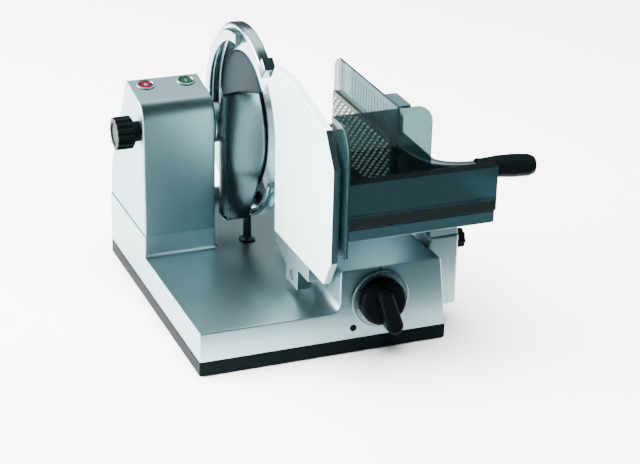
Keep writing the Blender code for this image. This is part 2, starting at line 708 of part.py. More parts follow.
def build_gauge(machine, slide):
    body = plate("gauge_plate", gauge_outline(), "X", *GAUGE_X, slide, "plate_aluminium")
    bevel(body, 0.0012, 1)
    carrier = plate("gauge_carrier", rounded([
        (0.150, 0.1271, 0), (0.021, 0.1271, 0), (0.021, 0.104, 0.002), (0.061, 0.104, 0.004),
        (0.061, 0.0735, 0.002), (0.105, 0.0735, 0.002), (0.105, 0.094, 0.012), (0.150, 0.112, 0.006)]),
        "X", 0.160, 0.181, slide, "cast_aluminium")
    arm = box("carrier_arm", (0.170, 0.196), (0.024, 0.056), (0.1045, 0.1160), slide, None)
    rod_centre = (0.0, GAUGE_ROD_Y, GAUGE_ROD_Z)
    guide_centre = (0.0, GUIDE_ROD_Y, GUIDE_ROD_Z)
    rod_seat = rod("carrier_rod_seat", GAUGE_ROD_RADIUS + GAP, (0.150, 0.190), "X", rod_centre,
                   slide, None, 20)
    guide_seat = rod("carrier_guide_seat", GUIDE_ROD_RADIUS + GAP, (0.165, 0.200), "X",
                     guide_centre, slide, None, 12)
    join(carrier, arm)
    cut(carrier, rod_seat, guide_seat)
    rod("gauge_rod", GAUGE_ROD_RADIUS, (0.1605, 0.285), "X", rod_centre, slide,
        "machined_steel", 16, 0.0008)
    rod("gauge_guide_rod", GUIDE_ROD_RADIUS, (0.1653, 0.240), "X", guide_centre, slide,
        "machined_steel", 12)
    follower = box("gauge_follower", (0.226, 0.243), (0.0720, 0.0940), (0.066, 0.1000), slide,
                   "machined_steel")
    seat = rod("follower_seat", GAUGE_ROD_RADIUS + GAP, (0.220, 0.250), "X", rod_centre, slide,
               None, 20)
    pin = rod("follower_pin", 0.0030, (0.052, 0.073), "Y", (DIAL_X - CAM_SMALL - 0.0035, 0.0, DIAL_Z),
              slide, None, 12)
    join(follower, pin)
    cut(follower, seat)
    ring("gauge_bush", GAUGE_ROD_RADIUS + GAP, 0.0100, (BLOCK_X - 0.001, BLOCK_X + 0.0065), "X",
         rod_centre, machine, "bronze", 20)
    rod("gauge_screw", 0.0035, (0.181 + GAP, 0.1845), "X", (0.0, 0.1200, 0.1195), slide,
        "black_plastic", 10)


def cam_outline():
    """A spiral cam in (X, Z) that lifts its follower by the gauge's travel over one dial turn.

    Seen from the front the dial turns clockwise, so the cam grows clockwise from its left side.
    """
    points = []
    steps = 40
    dwell = radians(22)
    for index in range(steps):
        turn = 2 * pi * index / steps
        if turn <= DIAL_TURN:
            radius = CAM_SMALL + GAUGE_TRAVEL * turn / DIAL_TURN
        elif turn >= 2 * pi - dwell:
            radius = CAM_SMALL
        else:
            share = (turn - DIAL_TURN) / (2 * pi - dwell - DIAL_TURN)
            radius = CAM_SMALL + GAUGE_TRAVEL * (1 - share)
        angle = pi + turn
        points.append((DIAL_X + radius * cos(angle), DIAL_Z + radius * sin(angle)))
    return points


def dial_place(across, up):
    """A (X, Z) point of the knob's ridge, leaning from upright about the dial's centre."""
    return (DIAL_X + across * cos(RIDGE_LEAN) - up * sin(RIDGE_LEAN),
            DIAL_Z + across * sin(RIDGE_LEAN) + up * cos(RIDGE_LEAN))


def build_dial(machine, dial_axis):
    centre = (DIAL_X, 0.0, DIAL_Z)
    ring("dial_scale", 0.0090, DIAL_RADIUS, (-0.0045, -GAP), "Y", centre, dial_axis, "plate_aluminium",
         32, 0.0008)
    knob = turned("dial_knob", [(0, -0.0225), (0.0285, -0.0225), (0.0325, -0.0185),
                                (DIAL_KNOB_RADIUS, -0.0048), (0, -0.0048)],
                  "Y", centre, dial_axis, "black_plastic", 32)
    ridge = plate("knob_ridge", [dial_place(*point) for point in rounded([
        (-0.0105, 0.026, 0.009), (0.0105, 0.026, 0.009), (0.0120, -0.041, 0.010),
        (-0.0120, -0.041, 0.010)], 4)], "Y", -0.040, -0.012, dial_axis, None)
    seat = rod("knob_seat", 0.0053, (-0.0150, 0.0), "Y", centre, dial_axis, None, 16)
    join(knob, ridge)
    cut(knob, seat)
    shaft = plate("dial_cam_shaft", cam_outline(), "Y", 0.046, 0.054, dial_axis, "machined_steel")
    spindle = rod("dial_spindle", 0.0050, (-0.0145, 0.0600), "Y", centre, dial_axis, None, 16)
    join(shaft, spindle)
    ring("dial_bush", 0.0053, 0.0090, (CASTING_INSET, 0.0120), "Y", centre, machine, "bronze", 20)


# ---------------------------------------------------------------- carriage

def build_carriage(machine, slide):
    rod("slide_rod", SLIDE_RADIUS, (0.0050, 0.4190), "Y", (SLIDE_X, 0.0, SLIDE_Z), machine,
        "machined_steel", 20)
    slider = box("carriage_slider", (0.300, 0.3355), (0.046, 0.104), (0.072, 0.104), slide,
                 "cast_aluminium")
    neck = box("slider_neck", (0.330, COLUMN_X[0] - GAP), (0.050, 0.100),
               (SLIDE_Z - 0.0075, SLIDE_Z + 0.0075), slide, None)
    bore = rod("slider_bore", SLIDE_RADIUS + GAP, (0.040, 0.110), "Y", (SLIDE_X, 0.0, SLIDE_Z),
               slide, None, 20)
    join(slider, neck)
    cut(slider, bore)
    box("carriage_column", COLUMN_X, COLUMN_Y, COLUMN_Z, slide, "cast_aluminium", 0.0030, 2)
    rod("column_bolt", 0.0070, (COLUMN_X[1] + GAP, COLUMN_X[1] + 0.0055), "X",
        (0.0, 0.062, 0.090), slide, "polished_steel", 16, 0.001)
    plate("carriage_bracket", rounded([
        (0.3475, 0.1343, 0), (0.3895, 0.1343, 0), (0.3870, 0.1650, 0), (0.3835, 0.2007, 0),
        (0.3807, 0.2007, 0), (0.3807, 0.2152, 0), (0.3350, 0.2152, 0), (0.3350, 0.1990, 0),
        (0.3450, 0.1750, 0.010)]),
        "Y", COLUMN_Y[0] + 0.002, COLUMN_Y[1] - 0.002, slide, "cast_aluminium")


def build_carriage_knob(knob_frame):
    """The black clamp knob on the right of the carriage column."""
    lobes = 8
    inner = CLAMP_RADIUS - 0.002
    outline = []
    for index in range(lobes):
        start = 2 * pi * index / lobes
        for share, radius in ((0.0, CLAMP_RADIUS), (0.5, CLAMP_RADIUS), (0.75, inner)):
            angle = start + share * 2 * pi / lobes
            outline.append((CLAMP_Y + radius * cos(angle), CLAMP_Z + radius * sin(angle)))
    body = plate("carriage_knob", outline, "X", COLUMN_X[1] + 0.0015, COLUMN_X[1] + 0.0140,
                 knob_frame, "black_plastic")
    neck = rod("carriage_knob_neck", 0.0070, (COLUMN_X[1] + GAP, COLUMN_X[1] + 0.003), "X",
               (0.0, CLAMP_Y, CLAMP_Z), knob_frame, None, 12)
    join(body, neck)


def build_table(slide):
    body = box("carriage_table", TABLE_X, TABLE_Y, TABLE_Z, slide, "tray_aluminium", 0.0020, 2)
    under = box("table_under", (TABLE_X[0] + 0.003, TABLE_X[1] - 0.003),
                (TABLE_Y[0] + 0.003, TABLE_Y[1] - 0.003), (TABLE_Z[0] - 0.002, TABLE_Z[1] - 0.003),
                slide, None)
    posts = []
    for name, low in (("left_post", TABLE_X[0] + 0.001), ("right_post", TABLE_X[1] - 0.009)):
        outline = rounded([(PUSHER_ROD_Y - 0.010, TABLE_Z[1] - 0.001, 0),
                           (PUSHER_ROD_Y + 0.010, TABLE_Z[1] - 0.001, 0),
                           (PUSHER_ROD_Y + 0.010, PUSHER_ROD_Z + 0.010, 0.0098),
                           (PUSHER_ROD_Y - 0.010, PUSHER_ROD_Z + 0.010, 0.0098)], 4)
        posts.append(plate(name, outline, "X", low, low + 0.008, slide, None))
    bore = rod("post_bore", PUSHER_ROD_RADIUS + GAP, (TABLE_X[0] - 0.01, TABLE_X[1] + 0.01), "X",
               (0.0, PUSHER_ROD_Y, PUSHER_ROD_Z), slide, None, 20)
    join(body, *posts)
    cut(body, under, bore)
    rod("pusher_rod", PUSHER_ROD_RADIUS, (TABLE_X[0] + 0.0015, TABLE_X[1] - 0.0015), "X",
        (0.0, PUSHER_ROD_Y, PUSHER_ROD_Z), slide, "polished_steel", 20)


def build_guards(slide):
    """Smoked fence and thumb guard, and the clear guard that stands across the carriage."""
    front = TABLE_Y[0]
    foot = TABLE_Z[1] + GAP
    fence = plate("front_fence", [
        (front, foot), (front + 0.004, foot), (front + 0.004, FENCE_TOP - 0.004),
        (front + 0.015, FENCE_TOP - 0.004), (front + 0.015, FENCE_TOP), (front, FENCE_TOP)],
        "X", TABLE_X[0] + GAP, TABLE_X[1] + 0.001, slide, "smoked_acrylic")
    bevel(fence, 0.0006, 1)
    plate("thumb_guard", rounded([
        (GUARD_FRONT, 0.178, 0.004), (-0.020, 0.178, 0.004), (-0.020, GUARD_TOP, 0),
        (GUARD_FRONT, GUARD_TOP, 0.034)], 6),
        "X", 0.1712, 0.1747, slide, "smoked_acrylic")
    plate("food_guard", rounded([
        (TABLE_X[0] + GAP, foot, 0), (0.312, foot, 0), (0.312, GUARD_TOP, 0.023),
        (TABLE_X[0] + GAP, GUARD_TOP, 0)], 6),
        "Y", -0.0232, -0.020, slide, "clear_acrylic")


def arm_line():
    """The pusher arm's centre line in (X, Y): straight forward, then round to the grip."""
    points = [(ARM_X, 0.221), (ARM_X, 0.100)]
    start = Vector((ARM_X, 0.100))
    pulls = (Vector((ARM_X, 0.046)), Vector((0.352, GRIP_Y)))
    end = Vector((GRIP_X[0] - GAP, GRIP_Y))
    steps = 8
    for index in range(1, steps + 1):
        share = index / steps
        rest = 1 - share
        point = (start * rest ** 3 + pulls[0] * 3 * share * rest ** 2
                 + pulls[1] * 3 * share ** 2 * rest + end * share ** 3)
        points.append(tuple(point))
    return points


def ribbon(line, width):
    """An outline of even width along a centre line."""
    left = []
    right = []
    for index, point in enumerate(line):
        before = Vector(line[max(index - 1, 0)])
        after = Vector(line[min(index + 1, len(line) - 1)])
        along = (after - before).normalized()
        side = Vector((-along.y, along.x)) * width / 2
        left.append(tuple(Vector(point) + side))
        right.append(tuple(Vector(point) - side))
    return left + list(reversed(right))


def build_pusher(slide, swing):
    hinge = (0.0, PUSHER_ROD_Y, PUSHER_ROD_Z)
    ring("pusher_sleeve", PUSHER_ROD_RADIUS + GAP, SLEEVE_RADIUS, (0.311, 0.351), "X", hinge,
         slide, "bronze", 20)
    arm = plate("pusher_arm", ribbon(arm_line(), ARM_WIDTH), "Z", *ARM_Z, swing, "cast_aluminium")
    hub = ring("arm_hub", SLEEVE_RADIUS + GAP, 0.0150, (0.316, 0.346), "X", hinge, swing, None, 20)
    hub_bore = rod("arm_hub_bore", SLEEVE_RADIUS + GAP, (0.305, 0.355), "X", hinge, swing, None, 20)
    join(arm, hub)
    cut(arm, hub_bore)
    turned("plate_spindle", [(0, SMOKED_X[1] + GAP), (0.017, SMOKED_X[1] + GAP), (0.017, 0.2730),
                             (0.0085, 0.2760), (0.0085, 0.3010), (0.0115, 0.3020), (0.0115, 0.3090),
                             (0.0085, 0.3100), (0.0085, 0.3217), (0, 0.3217)],
           "X", (0.0, SPINDLE_Y, SPINDLE_Z), swing, "cast_aluminium", 20)
    foot = TABLE_Z[1] + 0.0035
    smoked = plate("pusher_plate", rounded([
        (-0.016, foot, 0), (0.202, foot, 0.004), (0.202, GUARD_TOP, 0.020), (-0.016, GUARD_TOP, 0)],
        5), "X", *SMOKED_X, swing, "smoked_acrylic")
    tab = box("pusher_tab", (SMOKED_X[0] + 0.001, 0.285), (-0.014, 0.035),
              (GUARD_TOP - 0.0035, GUARD_TOP - 0.0003), swing, None)
    join(smoked, tab)
    spikes = plate("spike_plate", rounded([
        (-0.015, foot, 0.002), (0.190, foot, 0.002), (0.190, 0.3090, 0.003), (-0.015, 0.3090, 0.003)]),
        "X", 0.2575, SMOKED_X[0] - GAP, swing, "machined_steel")
    bevel(spikes, 0.0006, 1)
    rod("pusher_clamp_knob", 0.0090, (SMOKED_X[1] + GAP, 0.2900), "X", (0.0, 0.030, 0.2335), swing,
        "black_plastic", 16, 0.0012)
    build_grip(swing)


def build_grip(swing):
    """The black grip. It swells towards its far end and droops a little."""
    length = GRIP_X[1] - GRIP_X[0] - 0.0021
    droop = radians(5)
    turned("pusher_grip", [(0, 0), (0.0110, 0), (0.0125, 0.0015), (0.0150, 0.35 * length),
                           (0.0162, 0.60 * length), (0.0152, length - 0.004),
                           (0.0125, length), (0, length)],
           "X", (GRIP_X[0] + 0.0014, GRIP_Y, GRIP_Z), swing, "black_plastic", 24, droop)


# ---------------------------------------------------------------- assembly

def build():
    machine = empty("machine", (0.0, 0.0, 0.0))
    machine.location = (-CENTRE_X, -CENTRE_Y, FOOT_DROP)
    blade_axis = empty("blade_axis", (0.0, BLADE_Y, BLADE_Z), machine)
    motor_axis = empty("motor_axis", (0.0, MOTOR_Y, MOTOR_Z), machine)
    knob_axis = empty("knob_axis", (0.0, BLADE_Y, BLADE_Z), machine)
    gauge_slide = empty("gauge_slide_axis", (0.0, GAUGE_ROD_Y, GAUGE_ROD_Z), machine)
    dial_axis = empty("dial_axis", (DIAL_X, 0.0, DIAL_Z), machine)
    carriage = empty("carriage_slide_axis", (SLIDE_X, 0.0, SLIDE_Z), machine)
    clamp_axis = empty("carriage_knob_axis", (0.0, CLAMP_Y, CLAMP_Z), carriage)
    pusher_slide = empty("pusher_slide_axis", (0.0, PUSHER_ROD_Y, PUSHER_ROD_Z), carriage)
    pusher_swing = empty("pusher_swing_axis", (0.0, PUSHER_ROD_Y, PUSHER_ROD_Z), pusher_slide)
    build_base(machine)
    build_skirt(machine)
    build_fittings(machine)
    build_tower(machine)
    build_drive(machine, blade_axis, motor_axis)
    build_blade(machine, blade_axis, knob_axis)
    build_guard(machine)
    build_deflector(machine)
    build_gauge(machine, gauge_slide)
    build_dial(machine, dial_axis)
    build_carriage(machine, carriage)
    build_carriage_knob(clamp_axis)
    build_table(carriage)
    build_guards(carriage)
    build_pusher(pusher_slide, pusher_swing)


build()
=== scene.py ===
from math import cos, hypot, pi, radians, sin, sqrt, tan

import bmesh
import bpy
from mathutils import Matrix, Quaternion, Vector


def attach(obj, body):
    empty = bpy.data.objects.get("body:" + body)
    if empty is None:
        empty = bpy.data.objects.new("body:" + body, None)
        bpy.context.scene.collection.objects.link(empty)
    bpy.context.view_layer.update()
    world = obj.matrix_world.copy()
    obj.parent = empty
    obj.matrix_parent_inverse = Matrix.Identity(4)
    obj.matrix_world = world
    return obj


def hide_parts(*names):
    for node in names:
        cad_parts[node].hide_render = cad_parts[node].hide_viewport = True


# The looks of the deli meat slicer. Every length is in metres. Pieces are drawn in the machine's
# own frame, X to the right, Y to the back and Z up from the skirt's front left bottom corner,
# and OFFSET moves them into the row frame.

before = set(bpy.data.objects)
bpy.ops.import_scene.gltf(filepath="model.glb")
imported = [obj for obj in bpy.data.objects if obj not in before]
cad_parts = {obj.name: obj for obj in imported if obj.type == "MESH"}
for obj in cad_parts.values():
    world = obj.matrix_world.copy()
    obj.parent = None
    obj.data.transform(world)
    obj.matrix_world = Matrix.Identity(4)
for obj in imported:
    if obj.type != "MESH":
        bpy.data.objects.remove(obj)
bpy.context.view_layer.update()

OFFSET = Vector((-0.228, -0.179, 0.002))
GAP = 0.0003
WALL = 0.004
WELD = 0.000002

# Base
BASE_W = 0.357
BASE_D = 0.424
SKIRT_TOP = 0.0200
INSET = 0.0005
CASTING_BOTTOM = SKIRT_TOP + GAP
TRAY_TOP = 0.0624
BLOCK_X = 0.199
BLOCK_TOP = 0.1227
BLOCK_REAR_X = 0.290
BLOCK_STEP_Y = 0.230
BLOCK_FILLET = 0.013
BLOCK_ROUND = 0.0045
CHANNEL_X = 0.342
CHANNEL_Y = 0.030
DRAFT = 0.011
FOOT_INSET = 0.034
PLUG = (0.219, 0.0, 0.036)
GLAND = (0.054, 0.0, 0.040)
STUD = (0.160, 0.265, 0.0)

# Tower
TOWER_X = (0.0015, 0.1073)
TOWER_FRONT = 0.253
TOWER_BACK = 0.4235
TOWER_SEAM = 0.0950
TOWER_TOP_BACK = (0.3355, 0.302)
TOWER_BACK_KNEE = 0.137
TOWER_WALL = 0.003
TOP_SLOPE = radians(10)
TOWER_ROUND = 0.027
TOWER_RIM = 0.0030
BUTTON_Y = 0.316
STOP_X = 0.025
START_X = 0.084

# Blade, guard and gauge
BLADE_Y = 0.278
BLADE_Z = 0.246
BLADE_AXIS = (0.0, BLADE_Y, BLADE_Z)
BLADE_RADIUS = 0.125
BLADE_WEB_X = 0.1575
BLADE_EDGE_X = 0.1656
HUB_RADIUS = 0.028
DISH_RADIUS = 0.0975
RING_CLEARANCE = 0.129
GAUGE_X = (0.158, 0.168)
GAUGE_ROD = (0.0, 0.083, 0.088)
GUIDE_ROD = (0.0, 0.040, 0.110)
GAUGE_SCREW = (0.0, 0.1200, 0.1195)
DIAL_X = 0.256
DIAL_Z = 0.076
DIAL_FACE = -0.0045
TICK_RADIUS = 0.0384
RIDGE_LEAN = radians(18)

# Carriage and pusher
TABLE_X = (0.175, 0.384)
TABLE_Y = (-0.075, 0.250)
TABLE_Z = (0.201, 0.2185)
COLUMN_X = (0.346, 0.391)
COLUMN_Y = (0.040, 0.110)
COLUMN_Z = (0.028, 0.134)
SLIDE_Z = 0.088
BOLT = (0.0, 0.062, 0.090)
CLAMP = (0.0, 0.060, 0.119)
FENCE_TOP = 0.281
GUARD_TOP = 0.356
PUSHER_ROD_Y = 0.234
PUSHER_ROD_Z = 0.236
HINGE = (0.0, PUSHER_ROD_Y, PUSHER_ROD_Z)
PUSHER_ROD_RADIUS = 0.0050
SLEEVE_RADIUS = 0.0090
SPINDLE = (0.0, 0.105, 0.2425)
PLATE_CLAMP = (0.030, 0.2335)
SMOKED_X = (0.264, 0.2675)
SPIKE_X = 0.2575
SPIKE_BASE = 0.0022
SPIKE_TIP = 0.0004
SPIKE_HEIGHT = 0.0042
ARM_X = 0.331
ARM_Z = 0.239
GRIP_X = (0.3975, 0.489)
GRIP_Y = 0.020
GRIP_Z = 0.241


# ---------------------------------------------------------------- finishes

BUMP_DEPTH = 0.0002


def tinted(colour, factor):
    return (*(min(1.0, channel * factor) for channel in colour), 1.0)


def finish(name, colour, roughness, metallic=0.0, grain=(1.0, 1.0, 1.0), scale=300.0, bump=0.1,
           spread=0.08, tint=0.08, clear=0.0, sheen=0.5, edge=1.0):
    """A procedural finish. grain stretches its fine noise, and a broad noise varies its colour."""
    made = bpy.data.materials.new(name)
    made.use_nodes = True
    nodes = made.node_tree.nodes
    links = made.node_tree.links
    shader = nodes["Principled BSDF"]
    shader.inputs["Metallic"].default_value = metallic
    shader.inputs["Transmission Weight"].default_value = clear
    shader.inputs["IOR"].default_value = 1.49
    shader.inputs["Specular IOR Level"].default_value = sheen
    shader.inputs["Specular Tint"].default_value = (edge, edge, edge, 1.0)
    place = nodes.new("ShaderNodeTexCoord")
    stretch = nodes.new("ShaderNodeMapping")
    stretch.inputs["Scale"].default_value = grain
    links.new(place.outputs["Object"], stretch.inputs["Vector"])
    fine = nodes.new("ShaderNodeTexNoise")
    fine.inputs["Scale"].default_value = scale
    fine.inputs["Detail"].default_value = 5.0
    fine.inputs["Roughness"].default_value = 0.62
    links.new(stretch.outputs["Vector"], fine.inputs["Vector"])
    broad = nodes.new("ShaderNodeTexNoise")
    broad.inputs["Scale"].default_value = 9.0
    broad.inputs["Detail"].default_value = 3.0
    links.new(place.outputs["Object"], broad.inputs["Vector"])
    shade = nodes.new("ShaderNodeMix")
    shade.data_type = "RGBA"
    shade.inputs["A"].default_value = tinted(colour, 1.0 - tint)
    shade.inputs["B"].default_value = tinted(colour, 1.0 + tint)
    blend = nodes.new("ShaderNodeMath")
    blend.operation = "MULTIPLY_ADD"
    blend.inputs[1].default_value = 0.5
    links.new(fine.outputs["Fac"], blend.inputs[0])
    half = nodes.new("ShaderNodeMath")
    half.operation = "MULTIPLY"
    half.inputs[1].default_value = 0.5
    links.new(broad.outputs["Fac"], half.inputs[0])
    links.new(half.outputs["Value"], blend.inputs[2])
    links.new(blend.outputs["Value"], shade.inputs["Factor"])
    links.new(shade.outputs["Result"], shader.inputs["Base Color"])
    gloss = nodes.new("ShaderNodeMapRange")
    gloss.inputs["To Min"].default_value = max(0.02, roughness - spread)
    gloss.inputs["To Max"].default_value = min(1.0, roughness + spread)
    links.new(blend.outputs["Value"], gloss.inputs["Value"])
    links.new(gloss.outputs["Result"], shader.inputs["Roughness"])
    relief = nodes.new("ShaderNodeBump")
    relief.inputs["Strength"].default_value = bump
    relief.inputs["Distance"].default_value = BUMP_DEPTH
    links.new(fine.outputs["Fac"], relief.inputs["Height"])
    links.new(relief.outputs["Normal"], shader.inputs["Normal"])
    return made


ALONG_X = (0.03, 1.0, 1.0)
ALONG_Y = (1.0, 0.03, 1.0)
ALONG_Z = (1.0, 1.0, 0.03)
SILVER = (0.27, 0.39, 0.415)
LOOKS = {
    "base": finish("base_brushed", SILVER, 0.36, 1.0, ALONG_Y, 900.0, 0.10),
    "tower": finish("tower_brushed", (0.21, 0.33, 0.355), 0.36, 1.0, ALONG_Z, 900.0, 0.14),
    "cast": finish("cast_satin", (0.26, 0.37, 0.395), 0.36, 1.0, scale=700.0, bump=0.12),
    "ring": finish("guard_polish", (0.26, 0.38, 0.41), 0.22, 1.0, scale=500.0, bump=0.06),
    "plate": finish("gauge_satin", (0.66, 0.77, 0.78), 0.42, 0.35, ALONG_Z, 700.0, 0.05, tint=0.03),
    "pan": finish("tray_brushed", (0.26, 0.37, 0.395), 0.36, 1.0, ALONG_Y, 800.0, 0.12),
    "steel": finish("polished_steel", (0.66, 0.74, 0.76), 0.16, 1.0, scale=500.0, bump=0.03,
                    spread=0.05, tint=0.05),
    # The blade's own steel painted near-black inside the dish: painted shade and reflection for the
    # dish's dark look, not a different metal.
    "dish": finish("blade_dish_painted_shade", (0.010, 0.020, 0.024), 0.34, 1.0, scale=600.0, bump=0.05,
                   edge=0.5),
    # The deflector's steel painted about nine times darker than the other metals: painted shade for its
    # shaded look, not a darker sheet.
    "sheet": finish("deflector_sheet", (0.030, 0.052, 0.058), 0.28, 1.0, ALONG_Z, 900.0, 0.08),
    "machined": finish("machined_steel", (0.26, 0.31, 0.32), 0.30, 1.0, ALONG_X, 900.0, 0.10),
    "dark_steel": finish("dark_steel", (0.06, 0.085, 0.095), 0.32, 1.0, scale=600.0, bump=0.08),
    "plastic": finish("black_plastic", (0.0016, 0.0026, 0.0030), 0.26, scale=1500.0, bump=0.10,
                      tint=0.25, sheen=0.02),
    "moulded": finish("skirt_plastic", (0.0020, 0.0042, 0.0050), 0.45, scale=2200.0, bump=0.22,
                      tint=0.25, sheen=0.02),
    "rubber": finish("black_rubber", (0.010, 0.010, 0.011), 0.78, scale=1200.0, bump=0.3,
                     tint=0.3),
    "smoked": finish("smoked_acrylic", (0.042, 0.078, 0.086), 0.06, scale=60.0, bump=0.02,
                     spread=0.03, tint=0.05, clear=0.92),
    "fence": finish("fence_acrylic", (0.005, 0.020, 0.024), 0.16, scale=900.0, bump=0.04,
                    spread=0.05, tint=0.15, clear=0.45),
    "clear": finish("clear_acrylic", (0.052, 0.092, 0.097), 0.05, scale=60.0, bump=0.02,
                    spread=0.03, tint=0.03, clear=0.95),
    "red": finish("red_button", (0.036, 0.0000, 0.003), 0.28, scale=1500.0, bump=0.05, sheen=0.1),
    "green": finish("green_button", (0.0, 0.016, 0.006), 0.28, scale=1500.0, bump=0.05,
                    sheen=0.1),
    "ink": finish("black_ink", (0.004, 0.006, 0.007), 0.6, scale=2500.0, bump=0.05, tint=0.2,
                  sheen=0.1),
    "white_ink": finish("white_ink", (0.13, 0.14, 0.14), 0.5, scale=2500.0, bump=0.05),
    "bronze": finish("bronze", (0.30, 0.20, 0.11), 0.36, 1.0, scale=900.0, bump=0.1),
    "spikes": finish("spike_board", (0.11, 0.13, 0.12), 0.34, 0.9, scale=900.0, bump=0.1),
    "spike_tips": finish("spike_tips", (0.90, 0.85, 0.74), 0.34, 0.5, scale=900.0, bump=0.05),
    "nylon": finish("nylon", (0.68, 0.69, 0.64), 0.48, scale=900.0, bump=0.08),
    "motor": finish("painted_motor", (0.04, 0.05, 0.06), 0.46, scale=1500.0, bump=0.2, tint=0.15),
}


# ---------------------------------------------------------------- shapes

def rounded(corners, count=8, closed=True):
    """An outline from (across, up, radius) corners, each rounded by its radius."""
    outline = []
    last = len(corners) - 1
    for index, (across, up, radius) in enumerate(corners):
        here = Vector((across, up))
        if radius == 0 or (not closed and index in (0, last)):
            outline.append((across, up))
            continue
        before = (Vector(corners[index - 1][:2]) - here).normalized()
        after = (Vector(corners[(index + 1) % len(corners)][:2]) - here).normalized()
        half = before.angle(after) / 2
        centre = here + (before + after).normalized() * radius / sin(half)
        first = here + before * radius / tan(half) - centre
        final = here + after * radius / tan(half) - centre
        sweep = first.angle_signed(final)
        for step in range(count + 1):
            spoke = Matrix.Rotation(-sweep * step / count, 2) @ first
            outline.append(tuple(centre + spoke))
    return outline


def signed_area(outline):
    total = 0.0
    for index, (across, up) in enumerate(outline):
        before = outline[index - 1]
        total += before[0] * up - across * before[1]
    return total / 2


def inset(outline, distance):
    """A counter-clockwise outline moved inwards by a distance."""
    moved = []
    for index, point in enumerate(outline):
        here = Vector(point)
        before = (here - Vector(outline[index - 1])).normalized()
        after = (Vector(outline[(index + 1) % len(outline)]) - here).normalized()
        normal_before = Vector((-before.y, before.x))
        normal_after = Vector((-after.y, after.x))
        middle = (normal_before + normal_after).normalized()
        reach = distance / max(middle.dot(normal_before), 0.3)
        moved.append(tuple(here + middle * reach))
    return moved


def on_axis(axis, across, up, station):
    """A point from outline coordinates: (Y, Z) for X, (X, Z) for Y and (X, Y) for Z."""
    if axis == "X":
        return (station, across, up)
    if axis == "Y":
        return (across, station, up)
    return (across, up, station)


def skin(work, rows, closed=True):
    """Faces between neighbouring rows of vertices. Closed rows are rings."""
    for lower, upper in zip(rows, rows[1:]):
        for index in range(len(lower) if closed else len(lower) - 1):
            after = (index + 1) % len(lower)
            work.faces.new((lower[index], lower[after], upper[after], upper[index]))


def loft(work, rows):
    """Rings of vertices skinned in order, with both ends closed."""
    skin(work, rows)
    work.faces.new(list(reversed(rows[0])))
    work.faces.new(rows[-1])
    bmesh.ops.recalc_face_normals(work, faces=work.faces)
    return work


def slab(outline, axis, low, high, edge=0.0, count=3):
    """An outline given thickness along an axis, its rims rounded by edge."""
    if signed_area(outline) < 0:
        outline = list(reversed(outline))
    levels = [(low, 0.0), (high, 0.0)]
    if edge:
        turns = [pi / 2 * step / count for step in range(count + 1)]
        levels = [(low + edge * (1 - cos(turn)), edge * (1 - sin(turn))) for turn in turns]
        levels += [(high - edge * (1 - cos(turn)), edge * (1 - sin(turn))) for turn in reversed(turns)]
    work = bmesh.new()
    rows = []
    for station, shrink in levels:
        line = inset(outline, shrink) if shrink else outline
        rows.append([work.verts.new(on_axis(axis, *point, station)) for point in line])
    return loft(work, rows)


def brick(xs, ys, zs, edge=0.0, corner=0.0, axis="Z", count=3):
    """A box with rounded rims, and upright corners rounded by corner."""
    spans = {"X": (ys, zs, xs), "Y": (xs, zs, ys), "Z": (xs, ys, zs)}[axis]
    (left, right), (bottom, top), (low, high) = spans
    outline = rounded([(left, bottom, corner), (right, bottom, corner), (right, top, corner),
                       (left, top, corner)], 5)
    return slab(outline, axis, low, high, edge, count)


def lathe(profile, axis, centre, steps=64, tilt=0.0):
    """A solid of revolution from (radius, station) points. A ring's profile never meets the axis."""
    work = bmesh.new()
    rows = []
    for radius, station in profile:
        if radius < WELD:
            rows.append([work.verts.new((0.0, 0.0, station))])
            continue
        turns = [2 * pi * step / steps for step in range(steps)]
        rows.append([work.verts.new((radius * cos(turn), radius * sin(turn), station))
                     for turn in turns])
    pairs = list(zip(rows, rows[1:]))
    if profile[0][0] >= WELD:
        pairs.append((rows[-1], rows[0]))
    for first, second in pairs:
        for index in range(steps):
            after = (index + 1) % steps
            corners = [first[index % len(first)], first[after % len(first)],
                       second[after % len(second)], second[index % len(second)]]
            unique = list(dict.fromkeys(corners))
            if len(unique) > 2:
                work.faces.new(unique)
    turn = {"X": Matrix.Rotation(pi / 2 + tilt, 4, "Y"), "Y": Matrix.Rotation(-pi / 2, 4, "X"),
            "Z": Matrix.Identity(4)}[axis]
    bmesh.ops.transform(work, matrix=Matrix.Translation(centre) @ turn, verts=work.verts)
    bmesh.ops.recalc_face_normals(work, faces=work.faces)
    return work


def turned(corners, axis, centre, steps=48, count=4, tilt=0.0):
    """A solid turned from (radius, station, rounding) corners that start and end on the axis."""
    return lathe(rounded(corners, count, closed=False), axis, centre, steps, tilt)


def cylinder(radius, stations, axis, centre, steps=48, edge=0.0):
    low, high = stations
    corners = [(0, low, 0), (radius, low, edge), (radius, high, edge), (0, high, 0)]
    return turned(corners, axis, centre, steps, 3)


def tube(inner, outer, stations, axis, centre, steps=48, edge=0.0):
    low, high = stations
    corners = [(inner, low, edge), (outer, low, edge), (outer, high, edge), (inner, high, edge)]
    return lathe(rounded(corners, 3), axis, centre, steps)


def hexagon(centre, radius):
    across, up = centre
    return [(across + radius * cos(pi / 3 * step), up + radius * sin(pi / 3 * step))
            for step in range(6)]


def merged(*works):
    """One bmesh that holds several, which keep apart."""
    whole = bmesh.new()
    for work in works:
        mesh = bpy.data.meshes.new("part")
        work.to_mesh(mesh)
        work.free()
        whole.from_mesh(mesh)
        bpy.data.meshes.remove(mesh)
    return whole


def placed(name, data):
    item = bpy.data.objects.new(name, data)
    bpy.context.scene.collection.objects.link(item)
    return item


def scratch(work):
    mesh = bpy.data.meshes.new("scratch")
    work.to_mesh(mesh)
    work.free()
    return placed("scratch", mesh)


